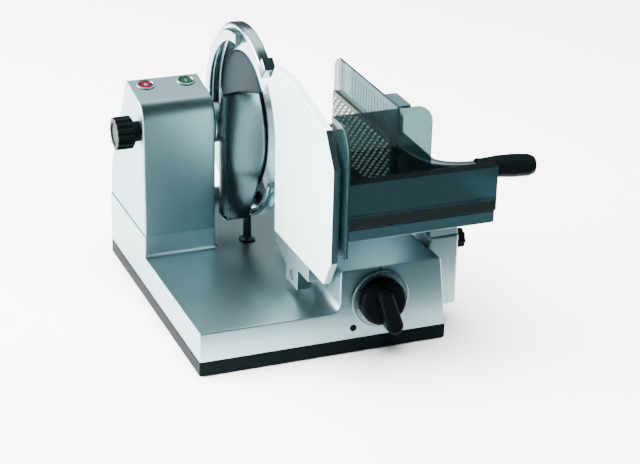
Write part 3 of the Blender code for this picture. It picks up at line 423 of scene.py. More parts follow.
def evaluated_copy(item):
    """A bmesh of an object with its modifiers applied."""
    bpy.context.view_layer.update()
    evaluated = item.evaluated_get(bpy.context.evaluated_depsgraph_get())
    work = bmesh.new()
    work.from_mesh(evaluated.to_mesh())
    evaluated.to_mesh_clear()
    return work


def solve(body, operation, others):
    """The body after an exact boolean with each of the others."""
    item = scratch(body)
    tools = [scratch(other) for other in others]
    for tool in tools:
        change = item.modifiers.new("change", "BOOLEAN")
        change.operation = operation
        change.solver = "EXACT"
        change.object = tool
    result = evaluated_copy(item)
    for old in [item] + tools:
        mesh = old.data
        bpy.data.objects.remove(old, do_unlink=True)
        bpy.data.meshes.remove(mesh)
    return result


def cut(body, *cutters):
    return solve(body, "DIFFERENCE", cutters)


def join(body, *others):
    return solve(body, "UNION", others)


def soften(work, chosen, radius, count=3):
    """Round each edge that chosen picks from its two ends."""
    edges = []
    for edge in work.edges:
        first, second = (vert.co for vert in edge.verts)
        if len(edge.link_faces) == 2 and edge.calc_face_angle(0.0) > 0.5 and chosen(first, second):
            edges.append(edge)
    bmesh.ops.bevel(work, geom=edges, offset=radius, offset_type="OFFSET", segments=count,
                    profile=0.5, affect="EDGES", clamp_overlap=False)
    return work


def piece(name, work, look, body, *nodes, sharp=32.0):
    """A shown piece from a bmesh, riding on a body in place of the CAD nodes that it stands for."""
    bmesh.ops.remove_doubles(work, verts=work.verts, dist=WELD)
    bmesh.ops.recalc_face_normals(work, faces=work.faces)
    limit = radians(sharp)
    for face in work.faces:
        face.smooth = True
    for edge in work.edges:
        if len(edge.link_faces) == 2 and edge.calc_face_angle(0.0) > limit:
            edge.smooth = False
    bmesh.ops.translate(work, vec=OFFSET, verts=work.verts)
    mesh = bpy.data.meshes.new(name)
    work.to_mesh(mesh)
    work.free()
    mesh.materials.append(LOOKS[look])
    item = placed(name, mesh)
    flats = item.modifiers.new("flats", "WEIGHTED_NORMAL")
    flats.keep_sharp = True
    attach(item, body)
    if nodes:
        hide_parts(*nodes)
    return item


def second_look(item, look, chosen):
    """Give the faces that chosen picks another finish."""
    item.data.materials.append(LOOKS[look])
    for polygon in item.data.polygons:
        polygon.material_index = 1 if chosen(polygon) else 0


def ring_point(radius, angle):
    """A (Y, Z) point about the blade axis. Angles rise from the front over the top."""
    return (BLADE_Y - radius * cos(angle), BLADE_Z + radius * sin(angle))


def ring_sector(inner, outer, start, end, count):
    first = [ring_point(outer, radians(start + (end - start) * i / count)) for i in range(count + 1)]
    second = [ring_point(inner, radians(end + (start - end) * i / count)) for i in range(count + 1)]
    return first + second


def swept(section, start, end, count):
    """A closed (radius, X) section carried round the blade axis between two angles in degrees."""
    work = bmesh.new()
    rows = []
    for step in range(count + 1):
        angle = radians(start + (end - start) * step / count)
        rows.append([work.verts.new((station, *ring_point(radius, angle)))
                     for radius, station in section])
    return loft(work, rows)


def fluted(centre, outer, depth, flutes, axis, low, high, edge):
    """A knob with smooth hollows round its side."""
    outline = []
    per_flute = 10
    for index in range(flutes * per_flute):
        turn = 2 * pi * index / (flutes * per_flute)
        wave = 0.5 - 0.5 * cos(turn * flutes)
        radius = outer - depth * wave ** 3
        outline.append((centre[0] + radius * cos(turn), centre[1] + radius * sin(turn)))
    return slab(outline, axis, low, high, edge)


# ---------------------------------------------------------------- base

def block_outline(left, right_low, right_high, wall):
    """The base's cross-section in (X, Z): the tray on the left and the raised block."""
    edge = INSET + wall
    floor = CASTING_BOTTOM - wall
    top = BLOCK_TOP - wall
    tray = TRAY_TOP - wall
    round_top = BLOCK_ROUND - wall * 0.9
    return rounded([
        (edge, floor, 0), (right_low - wall, floor, 0), (right_high - wall, top, round_top),
        (left + wall, top, round_top), (left + wall, tray, BLOCK_FILLET if wall == 0 else 0.004),
        (edge, tray, 0.002 if wall == 0 else 0.001)], 8)


def draw_base():
    right = BASE_W - INSET
    back = BASE_D - INSET
    body = slab(block_outline(BLOCK_X, CHANNEL_X, CHANNEL_X, 0.0), "Y", CHANNEL_Y - 0.001,
                BLOCK_STEP_Y)
    nose = slab(block_outline(BLOCK_X, right, right - DRAFT, 0.0), "Y", INSET, CHANNEL_Y)
    rear = slab(block_outline(BLOCK_REAR_X, CHANNEL_X, CHANNEL_X, 0.0), "Y", BLOCK_STEP_Y - 0.001,
                back)
    stub = slab(rounded([(TOWER_X[0] - 0.001, TOWER_FRONT, TOWER_RIM), (TOWER_X[1], TOWER_FRONT, 0.002),
                         (TOWER_X[1], back, 0), (TOWER_X[0] - 0.001, back, 0)], 5),
                "Z", TRAY_TOP - 0.002, TOWER_SEAM - GAP)
    lip = brick((TOWER_X[1] - 0.002, BLOCK_REAR_X + 0.002), (back - 0.008, back),
                (TRAY_TOP - 0.002, TRAY_TOP + 0.020))
    shell = join(body, nose, rear, stub, lip)
    bmesh.ops.dissolve_limit(shell, angle_limit=radians(0.5), verts=shell.verts, edges=shell.edges)

    def at_tower_foot(first, second):
        level = abs(first.z - TRAY_TOP) < 0.0001 and abs(second.z - TRAY_TOP) < 0.0001
        middle = (first + second) / 2
        beside = abs(middle.x - TOWER_X[1]) < 0.0005 or abs(middle.y - TOWER_FRONT) < 0.0005
        return level and beside and middle.x < TOWER_X[1] + 0.0005

    def on_front(first, second):
        level = abs(first.y - INSET) < 0.0001 and abs(second.y - INSET) < 0.0001
        return level and max(first.z, second.z) > CASTING_BOTTOM + 0.001

    soften(shell, at_tower_foot, 0.006, 6)
    soften(shell, on_front, 0.0020, 4)
    hollow = slab(block_outline(BLOCK_X, CHANNEL_X, CHANNEL_X, WALL), "Y", INSET + WALL,
                  BLOCK_STEP_Y - WALL)
    rear_hollow = slab(block_outline(BLOCK_REAR_X, CHANNEL_X, CHANNEL_X, WALL), "Y",
                       BLOCK_STEP_Y - 2 * WALL, back - WALL)
    stub_hollow = brick((TOWER_X[0] + WALL, TOWER_X[1] - WALL), (TOWER_FRONT + WALL, back - WALL),
                        (TRAY_TOP, TOWER_SEAM + 0.01))
    cable_hole = cylinder(0.010, (TRAY_TOP - 0.02, TRAY_TOP + 0.02), "Z", (GLAND[0], 0.400, 0.0))
    dial_hole = cylinder(0.0093, (-0.002, 0.010), "Y", (DIAL_X, 0.0, DIAL_Z))
    plug_hole = cylinder(0.0035, (-0.002, 0.010), "Y", PLUG)
    gland_hole = cylinder(0.0085, (BASE_D - 0.010, BASE_D + 0.002), "Y", GLAND)
    wall_span = (BLOCK_X - 0.003, BLOCK_X + 0.010)
    rod_hole = cylinder(0.0103, wall_span, "X", GAUGE_ROD)
    guide_hole = cylinder(0.0043, wall_span, "X", GUIDE_ROD)
    slot = brick((CHANNEL_X - WALL - 0.002, CHANNEL_X + 0.002), (0.044, 0.376),
                 (SLIDE_Z - 0.009, SLIDE_Z + 0.009), corner=0.004, axis="X")
    shell = cut(shell, hollow, rear_hollow, stub_hollow, cable_hole, dial_hole, plug_hole,
                gland_hole, rod_hole, guide_hole, slot)
    piece("base_shell", shell, "base", "machine", "base_casting")


def draw_skirt():
    skirt = brick((0.0, BASE_W), (0.0, BASE_D), (0.0, SKIRT_TOP), 0.0008, 0.0025)
    recess = brick((0.005, BASE_W - 0.005), (0.005, BASE_D - 0.005), (-0.001, 0.006))
    through = brick((0.014, BASE_W - 0.016), (0.014, BASE_D - 0.014), (-0.001, SKIRT_TOP + 0.001))
    bead = brick((-0.01, BASE_W + 0.01), (-0.01, BASE_D + 0.01), (0.0168, 0.0174))
    core = brick((0.0005, BASE_W - 0.0005), (0.0005, BASE_D - 0.0005), (0.01, 0.03), corner=0.0022)
    groove = cut(bead, core)
    piece("skirt_moulding", cut(skirt, recess, through, groove), "moulded", "machine", "skirt")
    feet = [("front_left", FOOT_INSET, FOOT_INSET), ("front_right", BASE_W - FOOT_INSET, FOOT_INSET),
            ("rear_left", FOOT_INSET, BASE_D - FOOT_INSET),
            ("rear_right", BASE_W - FOOT_INSET, BASE_D - FOOT_INSET)]
    for where, across, deep in feet:
        foot = turned([(0, -0.0012, 0), (0.0065, -0.0012, 0), (0.0075, -0.0020, 0.0004),
                       (0.0112, -0.0020, 0.0006), (0.0120, 0.0008, 0.0006),
                       (0.0116, 0.0034, 0.0004), (0, 0.0034, 0)], "Z", (across, deep, 0.0), 48, 3)
        piece("rubber_foot_" + where, foot, "rubber", "machine", "foot_" + where)


def draw_fittings():
    plug = turned([(0, -0.0008, 0), (0.0040, -0.0008, 0.0004), (0.0048, -0.0002, 0.0002),
                   (0.0048, 0.0002, 0), (0, 0.0002, 0)], "Y", PLUG, 40)
    slot = brick((PLUG[0] - 0.0030, PLUG[0] + 0.0030), (-0.0012, -0.0005),
                 (PLUG[2] - 0.0005, PLUG[2] + 0.0005))
    piece("front_plug_cap", cut(plug, slot), "plastic", "machine", "front_plug")
    nut = slab(hexagon((GLAND[0], GLAND[2]), 0.011), "Y", BASE_D + GAP, BASE_D + 0.0050, 0.0007)
    stem_profile = [(0, BASE_D - 0.012), (0.0080, BASE_D - 0.012)]
    for index in range(8):
        station = BASE_D + 0.0052 + 0.0008 * index
        stem_profile += [(0.0080, station), (0.0074, station + 0.0004)]
    stem_profile += [(0.0070, BASE_D + 0.012), (0, BASE_D + 0.012)]
    stem = lathe(stem_profile, "Y", GLAND, 40)
    bore = cylinder(0.0035, (BASE_D - 0.02, BASE_D + 0.022), "Y", GLAND, 32)
    piece("gland_nut", cut(join(nut, stem), bore), "plastic", "machine", "cord_gland")
    post = turned([(0, TRAY_TOP + GAP, 0), (0.0125, TRAY_TOP + GAP, 0.0004),
                   (0.0125, TRAY_TOP + 0.0028, 0.0012), (0.0062, TRAY_TOP + 0.0060, 0.004),
                   (0.0060, 0.0900, 0), (0.0056, 0.0905, 0), (0.0056, 0.0925, 0),
                   (0.0060, 0.0930, 0), (0.0060, 0.1070, 0.0010), (0, 0.1070, 0)],
                  "Z", STUD, 48, 5)
    piece("stud_post", post, "dark_steel", "machine", "support_stud")


# ---------------------------------------------------------------- tower

def tower_outline():
    top_y, top_z = TOWER_TOP_BACK
    slope_end = top_z - (top_y - TOWER_FRONT) * tan(TOP_SLOPE)
    return rounded([(TOWER_FRONT, slope_end, TOWER_ROUND), (TOWER_FRONT, TOWER_SEAM, 0),
                    (TOWER_BACK, TOWER_SEAM, 0), (TOWER_BACK, TOWER_BACK_KNEE, 0.003),
                    (top_y, top_z, 0.006)], 14)


def tilted(work, across):
    """A button part drawn about Z, set square to the tower's sloping top."""
    high = TOWER_TOP_BACK[1] - (TOWER_TOP_BACK[0] - BUTTON_Y) * tan(TOP_SLOPE)
    seat = Matrix.Translation((across, BUTTON_Y, high)) @ Matrix.Rotation(TOP_SLOPE, 4, "X")
    bmesh.ops.transform(work, matrix=seat, verts=work.verts)
    return work


def draw_tower():
    outline = tower_outline()
    body = slab(outline, "X", *TOWER_X, TOWER_RIM, 5)
    hollow = slab(inset(list(reversed(outline)) if signed_area(outline) < 0 else outline, TOWER_WALL),
                  "X", TOWER_X[0] + TOWER_WALL, TOWER_X[1] - TOWER_WALL)
    mouth = brick((TOWER_X[0] + TOWER_WALL, TOWER_X[1] - TOWER_WALL),
                  (TOWER_FRONT + TOWER_WALL, TOWER_BACK - TOWER_WALL),
                  (TOWER_SEAM - 0.002, TOWER_SEAM + 0.008))
    knob_hole = cylinder(0.0075, (-0.001, 0.0075), "X", BLADE_AXIS)
    neck_hole = cylinder(0.0213, (0.1013, 0.1093), "X", BLADE_AXIS)
    button_holes = [tilted(cylinder(0.0118, (-0.008, 0.004), "Z", (0.0, 0.0, 0.0)), across)
                    for across in (STOP_X, START_X)]
    shell = cut(body, hollow, mouth, knob_hole, neck_hole, *button_holes)
    piece("tower_cover", shell, "tower", "machine", "tower_housing")
    draw_button("stop", STOP_X, "red")
    draw_button("start", START_X, "green")


def oval(half_across, half_up):
    turns = [2 * pi * step / 32 for step in range(32)]
    return [(half_across * cos(turn), half_up * sin(turn)) for turn in turns]


def draw_button(name, across, look):
    """A button in its bezel, marked 0 for stop and I for start."""
    centre = (0.0, 0.0, 0.0)
    bezel = lathe(rounded([(0.0103, -0.012, 0), (0.0115, -0.012, 0), (0.0115, GAP, 0),
                           (0.0134, GAP, 0.0002), (0.0131, 0.0016, 0.0005),
                           (0.0110, 0.0019, 0.0004), (0.0103, 0.0008, 0.0003)], 3),
                  "Z", centre, 56)
    piece(name + "_bezel_ring", tilted(bezel, across), "cast", "machine", name + "_bezel")
    cap = turned([(0, -0.0090, 0), (0.0098, -0.0090, 0), (0.0098, 0.0012, 0.0006),
                  (0.0084, 0.0015, 0.0006), (0.0060, 0.0009, 0.001), (0, 0.0008, 0)],
                 "Z", centre, 56)
    piece(name + "_cap", tilted(cap, across), look, name + "_button", name + "_button")
    low, high = 0.0007, 0.0011
    if name == "stop":
        mark = cut(slab(oval(0.0021, 0.0031), "Z", low, high),
                   slab(oval(0.0013, 0.0023), "Z", low - 0.001, high + 0.001))
    else:
        mark = brick((-0.0005, 0.0005), (-0.0031, 0.0031), (low, high), corner=0.0002)
    piece(name + "_mark", tilted(mark, across), "white_ink", name + "_button")


def draw_release_knob():
    body = fluted(BLADE_AXIS[1:], 0.0235, 0.0024, 14, "X", -0.033, -0.0085, 0.0016)
    dish = turned([(0, -0.0400, 0), (0.0165, -0.0400, 0), (0.0165, -0.0325, 0.0003),
                   (0.0155, -0.0315, 0.0006), (0, -0.0315, 0)], "X", BLADE_AXIS, 56)
    collar = turned([(0, -0.010, 0), (0.0200, -0.010, 0), (0.0200, -0.0070, 0.0008),
                     (0.0150, -0.0065, 0.0004), (0.0145, 0.0012, 0.0004), (0, 0.0012, 0)],
                    "X", BLADE_AXIS, 56)
    bore = cylinder(0.0043, (-0.0255, 0.010), "X", BLADE_AXIS, 24)
    knob = cut(join(body, collar), dish, bore)
    piece("release_hand_knob", knob, "plastic", "blade_release", "release_knob")


def draw_neck():
    profile = rounded([(0.0175, 0.098, 0), (0.0210, 0.098, 0), (0.0210, TOWER_X[1] + GAP, 0),
                       (HUB_RADIUS, TOWER_X[1] + GAP, 0.0008), (HUB_RADIUS, 0.1395, 0.0012),
                       (0.0175, 0.140, 0), (0.0175, 0.1282, 0), (0.0145, 0.1282, 0),
                       (0.0145, 0.1102, 0), (0.0175, 0.1102, 0)], 4)
    piece("neck_casting", lathe(profile, "X", BLADE_AXIS, 64), "cast", "machine",
          "neck_housing")


# ---------------------------------------------------------------- blade, guard and deflector

def draw_blade():
    profile = [(0.0103, BLADE_WEB_X), (0.090, BLADE_WEB_X), (0.0950, BLADE_WEB_X + 0.0001),
               (0.0965, BLADE_WEB_X + 0.0006), (0.0985, BLADE_WEB_X + 0.0014),
               (0.1000, BLADE_WEB_X + 0.0017), (0.1180, BLADE_WEB_X + 0.0060),
               (BLADE_RADIUS, BLADE_EDGE_X - 0.0003), (BLADE_RADIUS, BLADE_EDGE_X),
               (0.1215, BLADE_EDGE_X - 0.0004), (0.104, BLADE_EDGE_X - 0.0020),
               (0.099, BLADE_WEB_X + 0.0030), (0.0103, BLADE_WEB_X + 0.0025)]
    item = piece("blade_disc", lathe(profile, "X", BLADE_AXIS, 128), "steel", "blade", "blade")
    axis = Vector(BLADE_AXIS) + OFFSET

    def painted_shade_dish_mask(polygon):
        return hypot(polygon.center.y - axis.y, polygon.center.z - axis.z) < DISH_RADIUS

    # Faces inside the dish radius get the near-black painted shade finish.
    second_look(item, "dish", painted_shade_dish_mask)
    cover = turned([(0, 0.1653, 0), (0.0043, 0.1653, 0), (0.0043, 0.1613, 0), (0.012, 0.1613, 0),
                    (0.012, 0.1632, 0), (0.096, 0.1632, 0), (0.098, 0.1645, 0.0003),
                    (0.098, 0.1660, 0.0004), (0.0900, 0.1660, 0), (0.0895, 0.1656, 0),
                    (0.0880, 0.1656, 0), (0.0875, 0.1660, 0), (0.0200, 0.1660, 0),
                    (0.0195, 0.1657, 0), (0, 0.1657, 0)], "X", BLADE_AXIS, 96, 3)
    piece("cover_disc", cover, "pan", "machine", "blade_cover_plate")


def draw_guard():
    """The ring round the blade, its inner band at the back and its web to the neck."""
    section = rounded([(0.1275, 0.1500, 0.0042), (0.1390, 0.1500, 0.0055),
                       (0.1390, 0.1670, 0.0025), (0.1275, 0.1670, 0.0015)], 5)
    body = swept(section, 50, 336, 120)
    lug = slab(ring_sector(0.1280, 0.152, 45.5, 53, 6), "X", 0.1502, 0.1668, 0.0015)
    band_section = rounded([(0.112, 0.1432, 0.0037), (0.130, 0.1432, 0.0037),
                            (0.130, 0.1510, 0.0010), (0.112, 0.1510, 0.0030)], 5)
    band = swept(band_section, 88, 284, 80)
    web = slab(ring_sector(0.015, 0.118, 188, 262, 24), "X", 0.1403, 0.1470, 0.0012)
    hub = tube(0.0095, HUB_RADIUS, (0.1403, 0.1472), "X", BLADE_AXIS, 64, 0.0008)
    bore = cylinder(0.0095, (0.135, 0.150), "X", BLADE_AXIS, 64)
    guard = cut(join(body, lug, band, web, hub), bore)
    piece("guard_casting", guard, "ring", "machine", "guard_ring")


def draw_deflector():
    """A thin curved sheet that throws each slice on to the tray."""
    left_x = 0.112
    right_x = 0.1563
    edge_radius = 0.097
    top = 0.312
    notch = 0.183
    chin = 0.118
    rows = 40
    columns = 22

    def left_edge(height):
        return 0.235 - 0.010 * max(0.0, (0.160 - height) / 0.045) ** 2

    def right_edge(height):
        if height >= notch:
            return BLADE_Y - sqrt(edge_radius ** 2 - (height - BLADE_Z) ** 2)
        return 0.2043 + 0.020 * (notch - height) / (notch - chin)

    work = bmesh.new()
    grid = []
    for row in range(rows + 1):
        height = chin + (top - chin) * row / rows
        narrowing = 0.009 * max(0.0, (0.172 - height) / (0.172 - chin))
        drop = 0.010 * row / rows
        line = [work.verts.new((left_x, 0.2495, height)), work.verts.new((left_x, 0.2420, height))]
        for column in range(columns + 1):
            share = column / columns
            across = left_x + (right_x - narrowing - left_x) * share
            start = left_edge(height)
            deep = start - (start - right_edge(height)) * share ** 2.3
            line.append(work.verts.new((across, deep, height - drop * (1 - share))))
        grid.append(line)
    skin(work, grid, closed=False)
    chin_row = grid[0][3:]
    curl = [chin_row]
    for turn in (0.35, 0.7, 1.0):
        angle = turn * pi / 2
        curl.insert(0, [work.verts.new((vert.co.x, vert.co.y + 0.014 * (1 - cos(angle)) ** 0.8,
                                        vert.co.z - 0.006 * sin(angle))) for vert in chin_row])
    skin(work, curl, closed=False)
    # The sheet wears the darkened steel finish, which is painted shade.
    item = piece("deflector_sheet", work, "sheet", "machine", "slice_deflector", sharp=50.0)
    shell = item.modifiers.new("sheet", "SOLIDIFY")
    shell.thickness = 0.0012
    shell.offset = 0.0


# ---------------------------------------------------------------- gauge and dial

def gauge_outline():
    corner = [(-0.038, 0.1285, 0.002), (-0.062, 0.168, 0.003), (-0.063, 0.2985, 0.003),
              (-0.032, 0.342, 0.003), (0.096, 0.368, 0.004), (0.154, 0.365, 0.0015)]
    hollow = [(*ring_point(RING_CLEARANCE, radians(41 - 41 * index / 24)), 0)
              for index in range(25)]
    return rounded(corner + hollow + [(0.147, 0.1275, 0.001)], 5)


def draw_gauge():
    body = slab(gauge_outline(), "X", *GAUGE_X, 0.0010, 3)
    grooves = []
    back = BLADE_Y - RING_CLEARANCE - 0.009
    for index in range(16):
        height = 0.158 + 0.012 * index
        grooves.append(brick((GAUGE_X[1] - 0.0005, GAUGE_X[1] + 0.001), (-0.052, back),
                             (height - 0.0011, height + 0.0011), corner=0.0009, axis="X"))
    panel = piece("gauge_panel", cut(body, merged(*grooves)), "plate", "gauge", "gauge_plate")
    # Faces turned to the front or downwards get the darker cast finish: painted shade on the plate's
    # front edges and underside.
    second_look(panel, "cast", lambda face: face.normal.y < -0.5 or face.normal.z < -0.5)
    carrier = slab(rounded([
        (0.150, 0.1271, 0), (0.021, 0.1271, 0.001), (0.021, 0.104, 0.002), (0.061, 0.104, 0.004),
        (0.061, 0.0735, 0.002), (0.105, 0.0735, 0.002), (0.105, 0.094, 0.010), (0.150, 0.112, 0.006)]),
        "X", 0.160, 0.181, 0.0008)
    arm = brick((0.170, 0.196), (0.024, 0.056), (0.1045, 0.1160), 0.0008)
    rod_seat = cylinder(0.0073, (0.150, 0.190), "X", GAUGE_ROD)
    guide_seat = cylinder(0.0043, (0.165, 0.200), "X", GUIDE_ROD)
    piece("gauge_foot", cut(join(carrier, arm), rod_seat, guide_seat), "cast", "gauge",
          "gauge_carrier")
    rod = cylinder(0.0070, (0.1605, 0.285), "X", GAUGE_ROD, 48, 0.0008)
    piece("gauge_main_rod", rod, "machined", "gauge", "gauge_rod")
    guide = cylinder(0.0040, (0.1653, 0.240), "X", GUIDE_ROD, 40, 0.0005)
    piece("gauge_side_rod", guide, "machined", "gauge", "gauge_guide_rod")
    screw = cylinder(0.0035, (0.181 + GAP, 0.1845), "X", GAUGE_SCREW, 40, 0.0005)
    socket = slab(hexagon(GAUGE_SCREW[1:], 0.0018), "X", 0.1830, 0.1860)
    piece("gauge_screw_head", cut(screw, socket), "plastic", "gauge", "gauge_screw")


def dial_point(radius, degrees):
    """A (X, Z) point on the dial. Angles rise clockwise from the top, as seen from the front."""
    angle = radians(degrees)
    return (DIAL_X + radius * sin(angle), DIAL_Z + radius * cos(angle))


def dial_tick(inner, outer, degrees, width, low, high):
    angle = radians(degrees)
    side = Vector((cos(angle), -sin(angle))) * width / 2
    start = Vector(dial_point(inner, degrees))
    end = Vector(dial_point(outer, degrees))
    corners = [start - side, end - side, end + side, start + side]
    return slab([tuple(corner) for corner in corners], "Y", low, high)


def numeral(text, degrees, radius, size, low):
    """A printed number on the dial, upright to its own spoke."""
    curve = bpy.data.curves.new("numeral", "FONT")
    curve.body = text
    curve.size = size
    curve.align_x = "CENTER"
    curve.align_y = "CENTER"
    curve.extrude = 0.00006
    drawn = placed("numeral", curve)
    work = evaluated_copy(drawn)
    bpy.data.objects.remove(drawn, do_unlink=True)
    across, up = dial_point(radius, degrees)
    seat = (Matrix.Translation((across, low, up)) @ Matrix.Rotation(radians(degrees), 4, "Y")
            @ Matrix.Rotation(pi / 2, 4, "X"))
    bmesh.ops.transform(work, matrix=seat, verts=work.verts)
    return work


def draw_dial():
    centre = (DIAL_X, 0.0, DIAL_Z)
    face = DIAL_FACE
    scale = lathe(rounded([(0.0090, -GAP, 0), (0.0413, -GAP, 0.0004), (0.0413, -0.0040, 0.0006),
                           (0.0400, face, 0.0003), (0.0396, face, 0), (0.0394, face + 0.0003, 0),
                           (0.0388, face + 0.0003, 0), (0.0386, face, 0), (0.0090, face, 0)], 3),
                  "Y", centre, 96)
    piece("dial_plate", scale, "cast", "dial", "dial_scale")
    marks = []
    low, high = face - 0.00012, face + 0.0001
    for index in range(10):
        marks.append(dial_tick(0.0340, TICK_RADIUS, -60 + 6.0 * index, 0.0022, low, high))
    for index in range(23):
        degrees = -176 + 5.0 * index
        inner = 0.0356 if index % 4 == 0 else 0.0368
        marks.append(dial_tick(inner, TICK_RADIUS, degrees, 0.0005, low, high))
    for index in range(12):
        marks.append(dial_tick(0.0366, TICK_RADIUS, 12 + 14.0 * index, 0.0005, low, high))
    for index in range(5):
        marks.append(numeral(str(5 - index), -170 + 22 * index, 0.0345, 0.0056, face - 0.0001))
    piece("dial_marks", merged(*marks), "ink", "dial")
    line = lathe([(0.0394, face + 0.0004), (0.0388, face + 0.0004), (0.0388, face + 0.0001),
                  (0.0394, face + 0.0001)], "Y", centre, 96)
    piece("dial_rim_line", line, "ink", "dial")
    draw_dial_knob(centre)
    tip, top, half = 0.1183, 0.1216, 0.0021
    arrow = slab([(DIAL_X, tip), (DIAL_X + half, top), (DIAL_X - half, top)], "Y", INSET - 0.0002,
                 INSET + 0.0001)
    piece("dial_pointer_mark", arrow, "ink", "machine")


def draw_dial_knob(centre):
    """The round knob and its leaning ridge."""
    body = turned([(0, -0.0048, 0), (0.0326, -0.0048, 0.0004), (0.0326, -0.0180, 0.0035),
                   (0.0285, -0.0222, 0.004), (0.0150, -0.0232, 0.004), (0, -0.0232, 0)],
                  "Y", centre, 96, 6)
    corners = rounded([(-0.0095, 0.027, 0.0090), (0.0095, 0.027, 0.0090),
                       (0.0125, -0.041, 0.0118), (-0.0125, -0.041, 0.0118)], 12)
    lean = Matrix.Rotation(RIDGE_LEAN, 2)
    outline = [tuple(lean @ Vector(corner) + Vector((DIAL_X, DIAL_Z))) for corner in corners]
    ridge = slab(outline, "Y", -0.040, -0.0160, 0.0045, 7)
    seat = cylinder(0.0053, (-0.0150, 0.0), "Y", centre, 32)
    piece("dial_hand_knob", cut(join(body, ridge), seat), "plastic", "dial", "dial_knob")


# ---------------------------------------------------------------- carriage

def draw_carriage():
    column = brick(COLUMN_X, COLUMN_Y, COLUMN_Z, 0.0030, 0.0040, count=5)
    piece("column_casting", column, "cast", "carriage", "carriage_column")
    side = COLUMN_X[1]
    bolt = turned([(0, side + GAP, 0), (0.0070, side + GAP, 0.0003),
                   (0.0070, side + 0.0050, 0.0012), (0, side + 0.0055, 0)], "X", BOLT)
    socket = slab(hexagon(BOLT[1:], 0.0035), "X", side + 0.0022, side + 0.0080)
    piece("bolt_head", cut(bolt, socket), "steel", "carriage", "column_bolt")
    bracket = slab(rounded([
        (0.3475, 0.1343, 0), (0.3895, 0.1343, 0), (0.3870, 0.1650, 0.02), (0.3835, 0.2007, 0),
        (0.3807, 0.2007, 0), (0.3807, 0.2152, 0), (0.3350, 0.2152, 0), (0.3350, 0.1990, 0),
        (0.3450, 0.1750, 0.010)], 8), "Y", COLUMN_Y[0] + 0.002, COLUMN_Y[1] - 0.002, 0.0008)
    piece("bracket_casting", bracket, "cast", "carriage", "carriage_bracket")
    body = fluted(CLAMP[1:], 0.0140, 0.0018, 8, "X", side + 0.0015, side + 0.0140, 0.0014)
    neck = cylinder(0.0070, (side + GAP, side + 0.003), "X", CLAMP)
    dish = cylinder(0.0070, (side + 0.0134, side + 0.02), "X", CLAMP)
    piece("clamp_hand_knob", cut(join(body, neck), dish), "plastic", "carriage_lock",
          "carriage_knob")


def draw_table():
    body = brick(TABLE_X, TABLE_Y, TABLE_Z, 0.0020, 0.0030, count=4)
    under = brick((TABLE_X[0] + 0.003, TABLE_X[1] - 0.003), (TABLE_Y[0] + 0.003, TABLE_Y[1] - 0.003),
                  (TABLE_Z[0] - 0.002, TABLE_Z[1] - 0.003))
    posts = []
    for low in (TABLE_X[0] + 0.001, TABLE_X[1] - 0.009):
        outline = rounded([(PUSHER_ROD_Y - 0.010, TABLE_Z[1] - 0.001, 0),
                           (PUSHER_ROD_Y + 0.010, TABLE_Z[1] - 0.001, 0),
                           (PUSHER_ROD_Y + 0.010, PUSHER_ROD_Z + 0.010, 0.0098),
                           (PUSHER_ROD_Y - 0.010, PUSHER_ROD_Z + 0.010, 0.0098)], 10)
        posts.append(slab(outline, "X", low, low + 0.008, 0.0006))
    bore = cylinder(PUSHER_ROD_RADIUS + GAP, (TABLE_X[0] - 0.01, TABLE_X[1] + 0.01), "X", HINGE)
    grooves = []
    for index in range(15):
        across = 0.190 + 0.0125 * index
        grooves.append(brick((across - 0.0011, across + 0.0011), (-0.012, 0.216),
                             (TABLE_Z[1] - 0.0005, TABLE_Z[1] + 0.001), corner=0.0009))
    table = cut(join(body, *posts), under, bore, merged(*grooves))
    piece("table_casting", table, "pan", "carriage", "carriage_table")
    rod = cylinder(PUSHER_ROD_RADIUS, (TABLE_X[0] + 0.0015, TABLE_X[1] - 0.0015), "X", HINGE, 48,
                   0.0005)
    piece("hinge_rod", rod, "steel", "carriage", "pusher_rod")


def draw_guards():
    front = TABLE_Y[0]
    foot = TABLE_Z[1] + GAP
    fence = slab([
        (front, foot), (front + 0.004, foot), (front + 0.004, FENCE_TOP - 0.004),
        (front + 0.015, FENCE_TOP - 0.004), (front + 0.015, FENCE_TOP), (front, FENCE_TOP)],
        "X", TABLE_X[0] + GAP, TABLE_X[1] + 0.001, 0.0004, 2)
    piece("fence_moulding", fence, "fence", "carriage", "front_fence")
    beads = [brick((TABLE_X[0] + 0.002, TABLE_X[1] - 0.001), (front - 0.0003, front),
                   (height, height + 0.0009)) for height in (0.2330, 0.2368)]
    strip = brick((TABLE_X[0] + 0.002, TABLE_X[1] - 0.001), (front - 0.0003, front - 0.0001),
                  (foot + 0.001, 0.2318))
    piece("fence_strip", merged(strip, *beads), "ink", "carriage")
    cap = brick((TABLE_X[0] + 0.001, TABLE_X[1] + 0.0005), (front - 0.0004, front + 0.0152),
                (FENCE_TOP + 0.0001, FENCE_TOP + 0.0009), 0.0003, 0.0008)
    piece("fence_cap", cap, "plastic", "carriage")
    thumb = slab(rounded([(-0.078, 0.178, 0.004), (-0.020, 0.178, 0.004), (-0.020, GUARD_TOP, 0.001),
                          (-0.078, GUARD_TOP, 0.034)], 14), "X", 0.1712, 0.1747, 0.0005, 2)
    piece("thumb_screen", thumb, "fence", "carriage", "thumb_guard")
    screen = slab(rounded([(TABLE_X[0] + GAP, foot, 0), (0.312, foot, 0), (0.312, GUARD_TOP, 0.023),
                           (TABLE_X[0] + GAP, GUARD_TOP, 0)], 14), "Y", -0.0232, -0.020, 0.0005, 2)
    piece("food_screen", screen, "clear", "carriage", "food_guard")


# ---------------------------------------------------------------- pusher

